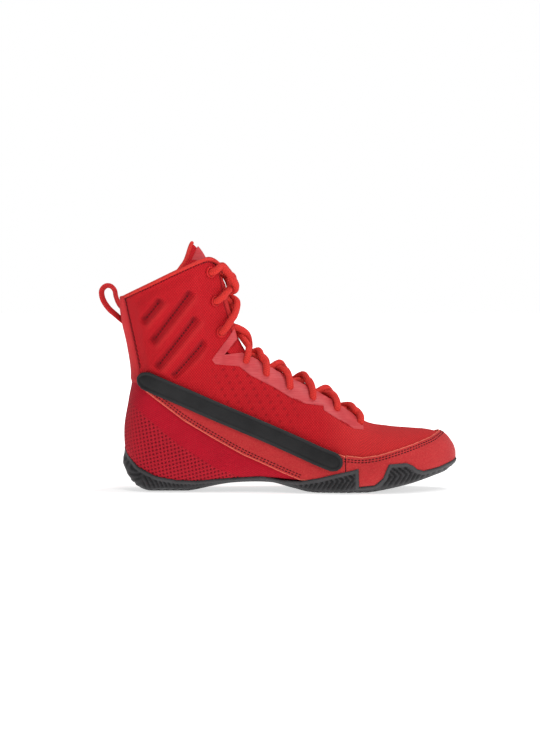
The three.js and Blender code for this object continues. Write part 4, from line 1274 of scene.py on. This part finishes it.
def at_join(points):
    """Where the strap's front end meets the mudguard, edge to edge."""
    return (np.abs(points[:, 0] - JOIN_X) < 1) & (points[:, 1] < 32)


def side_strap(side):
    name = SIDE_NAME[side]
    outline = [*STRAP_LOWER, *STRAP_UPPER[::-1]]
    piece = panel(f"side_strap_{name}_suede", outline, (side,), overlay_shape(LAYER_GAP, SUEDE), spacing=1.5,
                  soft=at_join)
    dress(piece, SUEDE_RED, nodes=(f"side_strap_{name}",))
    rows = [(STRAP_LOWER[:-1], inset) for inset in STRAP_ROWS]
    stitches(f"strap_stitches_{name}", rows, (side,), LAYER_GAP + SUEDE)


def mudguard():
    hem = [(x, z - 3) for x, z in TOE_FEATHER]
    outline = [*GUARD_TOP, *hem, (GUARD_TOP[0][0], 5)]
    piece = panel("mudguard_suede", outline, BOTH, overlay_shape(LAYER_GAP, SUEDE), spacing=1.5, wrap=True,
                  soft=at_join)
    dress(piece, SUEDE_RED, nodes=("mudguard",))
    rows = [([(186, 33.5), *GUARD_TOP[1:]], -inset) for inset in GUARD_ROWS]
    stitches("mudguard_stitches", rows, BOTH, LAYER_GAP + SUEDE)
    join = [(JOIN_X, 31), (JOIN_X, 12.5)]
    stitches("strap_join_stitches", [(join, 0)], BOTH, LAYER_GAP + SUEDE - 0.1, pitch=2.4)


def band_outline():
    """The band's side outline: a constant width round its path, with blunt rounded ends."""
    path = smooth_path(BAND_PATH, 3)
    left = offset_line(path, BAND_HALF_WIDTH)
    right = offset_line(path, -BAND_HALF_WIDTH)

    def cap(centre, start, end):
        turn = np.linspace(start, end, 9)[1:-1]
        return centre + BAND_HALF_WIDTH * 0.9 * np.stack([np.cos(turn), np.sin(turn)], -1)

    first = unit(path[1] - path[0])
    last = unit(path[-1] - path[-2])
    heading = math.atan2(last[1], last[0])
    tail = math.atan2(first[1], first[0])
    front = cap(path[-1], heading - math.pi / 2, heading + math.pi / 2)
    rear = cap(path[0], tail + math.pi / 2, tail + 3 * math.pi / 2)
    return np.vstack([right, front, left[::-1], rear])


def band_shape(spot):
    rim = 1 - smooth_step(1.7, 2.4, spot.edge)
    line = hump(spot.edge, 2.9, 0.35)
    low = BAND_BASE - 0.9 - 1.3 * at_heel_end(spot)
    crown = 0.3 * smooth_step(2.4, 7, spot.edge)
    body = (BAND_THICKNESS + 0.2) * (0.4 + 0.6 * swell_to(spot.edge, 0.7))
    high = low + body + 0.55 * rim + crown - 0.3 * line
    # The moulded groove inside the rim carries painted shade, and the raised rim is lighter.
    return {"low": low, "high": high, "shade": 0.55 * line, "light": 0.1 * rim * (1 - line)}


def side_band(side):
    name = SIDE_NAME[side]
    piece = panel(f"side_band_{name}_moulding", band_outline(), (side,), band_shape, spacing=1.0)
    dress(piece, BLACK_BAND, nodes=(f"side_band_{name}",))


def eyestay_shape(spot):
    return {"low": 0.02, "high": 0.12 + FILM * (0.1 + 0.9 * swell_to(spot.edge, 0.9))}


def eyestay(side):
    name = SIDE_NAME[side]
    facing = [(x, z - 0.3) for x, z in FACING]
    outline = [(97, 141), (99.8, 132.7), (89, 119.2), *facing, *FILM_EDGE]
    holes = [(hole_spots(LACE_HOLES, side), HOLE_RADIUS - 0.4)]
    piece = panel(f"eyestay_{name}_film", outline, (side,), eyestay_shape, spacing=1.0, holes=holes)
    dress(piece, FILM_PINK, nodes=(f"eyestay_{name}",))
    tacks = [[(148, 81.6), (156, 78.4)], [(189, 62.6), (197, 58)]]
    rows = [stitch_spots(line, side, 0, 0.75, 1.3) for line in tacks]
    crosswise = [(centres, np.cross(normal, along), normal) for centres, along, normal in rows]
    beads(f"film_bar_tacks_{name}", crosswise, (1.6, 0.8, 0.8), THREAD_RED)


def back_seam_angle(u):
    """Angle from the back line to the seam beside the back strip."""
    at_u, at_angle = locate(smooth_path(BACK_SEAM, 2))
    order = np.argsort(at_u)
    return np.pi - np.interp(u, at_u[order], at_angle[order])


def strip_angle(u, across):
    """Angle of a point of the back strip, across from -1 to 1 between its seams."""
    return np.pi + back_seam_angle(u) * across


def strip_foot(across):
    """The section at which the back strip's level lower end lies."""
    foot_z = 94.5
    trial = np.linspace(15.5, 17.5, 80)
    return np.interp(foot_z, surface(trial, strip_angle(trial, across))[:, 2], trial)


def back_strip():
    columns = 80
    rows = 41
    last = 19.85
    i, j = np.meshgrid(np.linspace(0, 1, columns), np.linspace(0, 1, rows), indexing="ij")
    across = 2 * j - 1
    first = np.array([strip_foot(share) for share in across[0]])
    u = first + (last - first) * i
    angle = strip_angle(u, across)
    roll = flat_swell(across, 4)
    fade = smooth_step(0, 0.06, i)
    outer = raised(u, angle, 0.1 + (0.2 + 1.1 * roll) * fade)
    inner = raised(u, angle, -0.5)
    # Painted shade along both seams, and darker towards the strip's lower end, where it meets the knit.
    shade = 0.35 * smooth_step(0.88, 1, np.abs(across)) + 0.3 * (1 - smooth_step(0, 0.4, i))
    uv = np.stack([(angle - np.pi) * HEEL_ROUND, outer[..., 2]], -1).reshape(-1, 2)
    piece = new_object("back_strip_roll", *closed_sheet(outer, inner), uv=np.vstack([uv, uv]),
                       shade=np.tile(shade.ravel(), 2))
    dress(piece, STRIP_MESH, nodes=("back_strip",))


def back_seam_stitches(side):
    """A zigzag row along one side of the back strip."""
    count = 32
    u = np.linspace(17, 19.75, count)
    zigzag = 0.02 * (1 + np.arange(count) % 2)
    angle = side * (np.pi - back_seam_angle(u) - zigzag)
    centres = raised(u, angle, 0.2)
    row = (centres, np.gradient(centres, axis=0), normal_at(u, angle))
    beads(f"back_seam_stitches_{SIDE_NAME[side]}", [row], (2.2, 0.8, 0.7), THREAD_DARK)


# ---- shaft insides ----

LINING_LOW = 1.95  # angle of the lining's lower edge along the foot


def lining_outside(u):
    return -2.2 - 2.4 * smooth_step(8, 10, u) - 1.2 * smooth_step(14, 15.5, u)


def shaft_insides(side):
    name = SIDE_NAME[side]

    def lining_inside(u):
        return lining_outside(u) - 0.9

    def lining_at(i, j):
        instep, collar = 8, 19.75
        u = instep + (collar - instep) * i
        first = 1 + 0.4 * smooth_step(11, 13, u)
        last = LINING_LOW + (np.pi - 0.04 - LINING_LOW) * smooth_step(12.2, 13.6, u)
        return u, side * (first + (last - first) * j)

    def pad_at(i, j):
        return 16 + 3.3 * i, side * (1.5 + 1.1 * j)

    lining = sheet(f"lining_{name}_cloth", lining_at, 90, 40, lining_inside, lining_outside, 0.5)
    dress(lining, LINING, nodes=(f"lining_{name}",))
    pad = sheet(f"ankle_pad_{name}_foam", pad_at, 50, 36, -4.4, -MESH - LAYER_GAP)
    dress(pad, FOAM, nodes=(f"ankle_pad_{name}",))


def stiffeners():
    def counter_at(i, j):
        return 13.4 + 2.2 * i, np.pi + (2 * j - 1)

    counter = sheet("heel_counter_shell", counter_at, 30, 44, -4, -MESH - 2 * LAYER_GAP)
    dress(counter, BOARD, nodes=("heel_counter",))
    outline = [(262, 24), (AHEAD, 34), (AHEAD, 80), (262, 80)]

    def puff_shape(_):
        return {"low": -3.1, "high": -MESH - LAYER_GAP - 0.35}

    puff = panel("toe_puff_shell", outline, BOTH, puff_shape, spacing=2.5)
    dress(puff, BOARD, nodes=("toe_puff",))


def collar_path(drop, height):
    """Points round the collar, a little below its edge, from one front corner round the back to the other."""
    behind = [(-0.6, 169.3), (6, 172.4), (15, 176.6)]
    line = smooth_path([*behind, *COLLAR_LINE[1:]], 3) - [0, drop]
    u, angle = locate(line)
    lateral = raised(u, -angle, height)
    medial = raised(u, angle, height)
    section_rise = 20.5  # between the last two sections, at the back
    heel = raised(np.array([COLLAR - drop / section_rise]), np.array([np.pi]), height)
    return smooth_path(np.vstack([lateral[::-1], heel, medial]), 1.2)


def collar_binding():
    radius = 1.6
    made = sweep(collar_path(1.3, -0.9), radius, radius, 16, rib_pitch=3.0, rib_depth=0.03)
    dress(new_object("collar_binding_roll", *made), BINDING, nodes=("collar_binding",))
    spots = evenly(collar_path(3.6, 0.2), 2.6)
    outwards = unit(spots - spots.mean(axis=0))
    row = (spots, np.gradient(spots, axis=0), outwards)
    beads("collar_stitches", [row], (1.9, 0.8, 0.7), THREAD_DARK)


# ---- tongue ----

tongue_line = smooth_path(TONGUE_SPINE, 0.5)
tongue_slope = np.gradient(tongue_line, axis=0)
tongue_walked = np.linspace(0, 1, len(tongue_line))


def tongue_half_width(t):
    """Widening from the foot, with a waist where the shaft's front corner passes it."""
    foot = 15
    widening = 7 * smooth_step(0, 0.25, t)
    waist = 4 * hump(t, 0.5, 0.09)
    return foot + widening - waist


def tongue_point(t, across, spread, height):
    """A point of the tongue: t along it, across from -1 to 1, and height in front of its middle line."""
    x, z = (np.interp(t, tongue_walked, column) for column in tongue_line.T)
    run_x, run_z = (np.interp(t, tongue_walked, column) for column in tongue_slope.T)
    run = np.hypot(run_x, run_z)
    y = spread * tongue_half_width(t) * across
    bow = TONGUE_BOW * (0.5 + 0.5 * smooth_step(0, 0.22, t)) * (1 - np.sqrt(1 - (y / TONGUE_ROUND) ** 2))
    blunt = 1.5
    fold = TONGUE_FOLD * np.tanh((np.hypot(y, blunt) - blunt) / 14) * smooth_step(0.82, 0.93, t)
    reach = height - bow - fold
    return np.stack([x + run_z / run * reach, y, z - run_x / run * reach], -1)


def tongue_end(across):
    """How far up the tongue reaches: its top edge falls away to both sides of a rounded peak."""
    blunt = 0.17
    fall = 0.115
    return 1 - fall * (np.hypot(across, blunt) - blunt)


def tongue_sheet(start, spread, back, front, inset=0.0):
    """Vertices and faces of a layer of the tongue between two heights, an inset short of its end."""
    i, across = np.meshgrid(np.linspace(0, 1, 90), np.linspace(-1, 1, 25), indexing="ij")
    t = start + (tongue_end(across) - inset - start) * i
    swell = flat_swell(across, 8) * flat_swell(2 * i - 1, 24)
    middle = (back + front) / 2
    half = (front - back) / 2 * (0.4 + 0.6 * swell)
    outer = tongue_point(t, across, spread, middle + half)
    inner = tongue_point(t, across, spread, middle - half)
    return closed_sheet(outer, inner)


def inflate(obj):
    """Puffs the piece up by a short cloth simulation under pressure, its points kept within a cap."""
    cap_mm = 0.9
    foot_x = 190
    frames = 20
    rest = np.array([v.co for v in obj.data.vertices])
    pinned = obj.vertex_groups.new(name="pinned")
    foot = [k for k, p in enumerate(rest) if p[0] > HEEL_X + foot_x * MM]
    pinned.add(foot, 1.0, "REPLACE")
    cloth = obj.modifiers.new("padding", "CLOTH")
    cloth.settings.use_pressure = True
    cloth.settings.uniform_pressure_force = 4
    cloth.settings.tension_stiffness = 25
    cloth.settings.bending_stiffness = 2
    cloth.settings.mass = 0.2
    cloth.settings.vertex_group_mass = "pinned"
    cloth.settings.effector_weights.gravity = 0
    scene = bpy.context.scene
    for number in range(1, frames + 1):
        scene.frame_set(number)
    settled = obj.evaluated_get(bpy.context.evaluated_depsgraph_get())
    moved = np.array([v.co for v in settled.data.vertices])
    obj.modifiers.remove(cloth)
    scene.frame_set(1)
    shift = moved - rest
    length = np.linalg.norm(shift, axis=1, keepdims=True)
    shift *= np.minimum(1, cap_mm * MM / np.maximum(length, 1e-9))
    obj.data.vertices.foreach_set("co", (rest + shift).astype(np.float32).ravel())
    obj.data.update()


def subdivide(obj):
    """Applies one level of subdivision."""
    modifier = obj.modifiers.new("smooth", "SUBSURF")
    modifier.levels = 1
    modifier.render_levels = 1
    finished = bpy.data.meshes.new_from_object(obj.evaluated_get(bpy.context.evaluated_depsgraph_get()))
    obj.modifiers.remove(modifier)
    obj.data = finished


def tongue_layers():
    face = new_object("tongue_face_padded", *tongue_sheet(0, 1, -TONGUE_PADDING, 0), sharp_deg=80)
    inflate(face)
    subdivide(face)
    dress(face, RED_MESH, "tongue", ("tongue_face",))
    lining = new_object("tongue_lining_cloth", *tongue_sheet(0.01, 0.95, -4.3, -3.6, inset=0.012))
    dress(lining, LINING, "tongue", ("tongue_lining",))


def tongue_binding():
    """A roll round the tongue's top edge and down both its sides."""
    radius = 1.7
    start = 0.7
    points = 30
    across = np.linspace(-1, 1, 61)
    side = np.linspace(start, tongue_end(1.0), points)[:-1]
    edge_t = np.concatenate([side, tongue_end(across), side[::-1]])
    edge_across = np.concatenate([np.full(len(side), -1.0), across, np.full(len(side), 1.0)])
    path = evenly(tongue_point(edge_t, edge_across, 1.0, -TONGUE_PADDING / 2), 1.0)
    dress(new_object("tongue_edge_binding", *sweep(path, radius, radius, 12)), BINDING, "tongue")


def tongue_label():
    start = 0.86
    end_gap = 0.025
    half_width = 0.42
    i, across = np.meshgrid(np.linspace(0, 1, 30), np.linspace(-half_width, half_width, 21), indexing="ij")
    t = start + (tongue_end(across) - end_gap - start) * i
    sheet_points = closed_sheet(tongue_point(t, across, 1.0, 1.0), tongue_point(t, across, 1.0, 0.1))
    dress(new_object("tongue_label_patch", *sheet_points), FILM_PINK, "tongue", ("tongue_label",))


def tongue_seams():
    t = np.linspace(0.72, 0.93, 34)
    rows = []
    for side in BOTH:
        across = 0.84 * side
        centres = tongue_point(t, across, 1.0, 0.3)
        ahead = tongue_point(t, across, 1.0, 1.3) - centres
        rows.append((centres, np.gradient(centres, axis=0), ahead))
    beads("tongue_stitches", rows, (1.8, 0.7, 0.6), THREAD_DARK, "tongue")


# ---- lace and eyelets ----

# Heights of the cord's middle line above the upper's surface.
OVER_FILM = 3.5
OVER_RING = 4.7
OVER_EDGE = 3.2
UNDER_FACING = -4.3
UNDER_COLLAR = -5.8
CROSSES_OVER = 2.8
CROSSES_UNDER = -3
INSTEP_LIFT = 1.8
LOWEST_BAR = -3.6
# Shares of the way from one row of holes to the next: over the own edge, mid throat and under the far edge.
LOW_CROSSING = (0.26, 0.5, 0.8)
SHAFT_CROSSING = (0.02, 0.34, 0.75)
# Each end of the cord from the top hole on: how far back down, its angle and its height.
LACE_TAIL = [(0.5, 0.5, 5.6), (1.4, 0.42, 7.8), (2.2, 0.34, 8.6), (2.8, 0.25, 6.2), (3.1, 0.15, 1.5),
             (3.15, 0.11, -4), (3.2, 0.11, -9)]


def ring_eyelet(side, row):
    """A rolled ring round one of the shaft's lace holes, with its barrel through the mesh."""
    profile = [(3.0, -1.6), (3.8, -1.6), (3.8, 0.3), (4.7, 0.35), (5.0, 0.8), (4.8, 1.35), (4.2, 1.7),
               (3.6, 1.6), (3.15, 1.2), (3.0, 0.6)]  # radius, height
    facets = 40
    u, angle = locate([RING_EYELETS[row]])
    up = normal_at(u, angle * side)[0]
    centre = surface(u, angle * side)[0]
    across = unit(np.cross([0, 0, 1.0], up))
    other = np.cross(up, across)
    points = []
    for radius, height in profile:
        for turn in 2 * np.pi * np.arange(facets) / facets:
            outwards = across * np.cos(turn) + other * np.sin(turn)
            points.append(centre + up * height + radius * outwards)
    faces = [*grid_faces(len(profile), facets, wrap_rows=True)]
    last = (len(profile) - 1) * facets
    for k in range(facets):
        following = (k + 1) % facets
        faces.append([k, following, last + following, last + k])
    name = f"ring_eyelet_{SIDE_NAME[side]}_{row + 1}"
    dress(new_object(f"{name}_rim", np.array(points), faces), EYELET, nodes=(name,))


def lace_points():
    """Control points (section, angle, height) of the one cord. It comes up through each hole and crosses the
    throat over its own facing and under the other one. Its ends are tucked in behind the top crossings."""
    u, angle = locate([*LACE_HOLES, *RING_EYELETS])
    last = len(u) - 1

    def up_through(row, side):
        at = side * angle[row]
        over = OVER_FILM if row < len(LACE_HOLES) else OVER_RING
        under = UNDER_COLLAR if row == last else UNDER_FACING
        rise = [(-0.06, 0, under), (-0.02, 0, -1.4), (0, 0, 1.3), (0.03, 0.06, over), (0.1, 0.2, over + 0.1)]
        return [(u[row] + onward, at - side * inward, height) for onward, inward, height in rise]

    def across_to(row, side):
        """The crossing from a side's hole below a row to the other side's hole in it."""
        start = u[row - 1]
        step = u[row] - start
        own, middle, far = LOW_CROSSING if row < len(LACE_HOLES) else SHAFT_CROSSING
        crosses_over = side == (LATERAL if row % 2 else MEDIAL)
        height = CROSSES_OVER if crosses_over else CROSSES_UNDER
        if row == len(LACE_HOLES):
            height += INSTEP_LIFT
        under = UNDER_COLLAR if row == last else UNDER_FACING
        over_edge = (start + own * step, side * angle[row - 1] / 2, OVER_EDGE)
        mid_throat = (start + middle * step, 0, height)
        under_edge = (start + far * step, -side * angle[row] / 2, under)
        return [over_edge, mid_throat, under_edge]

    def half(side):
        points = up_through(0, side)
        for row in range(1, len(u)):
            points += across_to(row, side)
            side = -side
            points += up_through(row, side)
        return points + [(u[-1] - back, side * beside, height) for back, beside, height in LACE_TAIL]

    return [*half(LATERAL)[::-1], (u[0], 0, LOWEST_BAR), *half(MEDIAL)]


def lace():
    u, angle, height = (np.array(v, float) for v in zip(*lace_points()))
    path = smooth_path(raised(u, angle, height), 0.45)
    half_width, half_height = (CORD_RADIUS * share for share in CORD_OVAL)
    made = sweep(path, half_width, half_height, 12, rib_pitch=1.5, rib_depth=0.07)
    dress(new_object("lace_cord", *made), LACE_CLOTH, nodes=("lace",))


# ---- pull tab ----


def pull_tab():
    arch = np.array([(x, 0, z) for x, z in PULL_TAB_ARCH], float)
    path = smooth_path(arch, 0.5)
    sideways = np.array([0, 1.0, 0])
    face = np.cross(unit(np.gradient(path, axis=0)), sideways)
    half_width = 4.2
    half_thickness = 1.05
    twist = 0.6  # the webbing leans a little sideways
    made = sweep(path, half_width, half_thickness, 20, across=sideways + twist * face, rib_pitch=1.6,
                 rib_depth=0.04)
    piece = new_object("pull_tab_webbing", *made)
    piece.data.materials.append(WEBBING)
    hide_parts("pull_tab")
    sewn, free = to_frame([[-2.5, 0, 157.5], [-8, 0, 157.5]])
    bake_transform(piece)
    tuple(sewn)
    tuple(free)


# ---- studio ----


def white_room():
    """An even world light, with a plain white background behind it for the camera."""
    world = bpy.data.worlds.new("white room")
    bpy.context.scene.world = world
    world.use_nodes = True
    tree = world.node_tree
    background = tree.nodes["Background"]
    seen = tree.nodes.new("ShaderNodeBackground")
    seen.inputs["Color"].default_value = (1, 1, 1, 1)
    background.inputs["Color"].default_value = (1, 1, 1, 1)
    background.inputs["Strength"].default_value = 0.22
    rays = tree.nodes.new("ShaderNodeLightPath")
    choose = tree.nodes.new("ShaderNodeMixShader")
    tree.links.new(rays.outputs["Is Camera Ray"], choose.inputs[0])
    tree.links.new(background.outputs[0], choose.inputs[1])
    tree.links.new(seen.outputs[0], choose.inputs[2])
    tree.links.new(choose.outputs[0], tree.nodes["World Output"].inputs[0])


def white_floor(size):
    """A pale floor that fades to white away from the boot."""
    g = Graph("white floor")
    g.shader.inputs["Base Color"].default_value = (0.9, 0.9, 0.9, 1)
    g.shader.inputs["Roughness"].default_value = 0.6
    g.shader.inputs["Emission Color"].default_value = (1, 1, 1, 1)
    away = g.node("ShaderNodeVectorMath", operation="LENGTH")
    g.put(away.inputs[0], g.place)
    spread = g.node("ShaderNodeMapRange")
    g.put(spread.inputs["Value"], away.outputs["Value"])
    spread.inputs["From Min"].default_value = 0.6 * size
    spread.inputs["From Max"].default_value = 2.2 * size
    spread.inputs["To Min"].default_value = 0.64
    spread.inputs["To Max"].default_value = 1.1
    g.put(g.shader.inputs["Emission Strength"], spread.outputs["Result"])
    mesh = bpy.data.meshes.new("floor")
    reach = 12 * size
    corners = [(-reach, -reach, 0), (reach, -reach, 0), (reach, reach, 0), (-reach, reach, 0)]
    mesh.from_pydata(corners, [], [(0, 1, 2, 3)])
    mesh.materials.append(g.material)
    floor = bpy.data.objects.new("floor", mesh)
    clearance = 0.0002
    floor.location.z = CAD_LOW.z - clearance
    bpy.context.scene.collection.objects.link(floor)


def lights(middle, size):
    """Soft area lamps, from their names, places, powers and widths."""
    away = 3 * size
    for name, place, power, width in (
        ("key", (0.35, -1.2, 1.3), 3.5, 2.5),
        ("top", (0.6, 0.1, 2.4), 8.6, 2.5),
        ("front", (2.4, -0.6, 0.9), 3, 2.0),
    ):
        data = bpy.data.lights.new(name, "AREA")
        data.size = width * size
        lamp = bpy.data.objects.new(name, data)
        lamp.location = middle + Vector(place) * away
        lamp.rotation_euler = (middle - lamp.location).to_track_quat("-Z", "Y").to_euler()
        data.energy = power * 3 * away**2
        bpy.context.scene.collection.objects.link(lamp)


def side_camera():
    """A long lens on the lateral side, a little above the boot's middle."""
    distance = 2.6
    elevation = math.radians(3.1)
    aim_x = 128.3
    aim_z = 0.0978
    sensor = 36
    view_width = 0.66
    aim = Vector((to_frame([aim_x, 0, 0])[0], 0, aim_z))
    data = bpy.data.cameras.new("camera")
    data.lens = sensor * distance / view_width
    camera = bpy.data.objects.new("camera", data)
    camera.location = aim + distance * Vector((0, -math.cos(elevation), math.sin(elevation)))
    camera.rotation_euler = (aim - camera.location).to_track_quat("-Z", "Y").to_euler()
    bpy.context.scene.collection.objects.link(camera)
    bpy.context.scene.camera = camera


def studio():
    bpy.context.scene.view_settings.view_transform = "Standard"
    size = (CAD_HIGH - CAD_LOW).length
    white_room()
    white_floor(size)
    lights((CAD_LOW + CAD_HIGH) / 2, size)
    side_camera()


outsole()
sole_plates()
for side in BOTH:
    quarter(side)
    side_strap(side)
    side_band(side)
    eyestay(side)
    shaft_insides(side)
    groove_perforations(side)
vamp()
heel_panel()
mudguard()
back_strip()
for side in BOTH:
    back_seam_stitches(side)
stiffeners()
collar_binding()
tongue_layers()
tongue_binding()
tongue_label()
tongue_seams()
for side in BOTH:
    for row in range(len(RING_EYELETS)):
        ring_eyelet(side, row)
lace()
pull_tab()
studio()
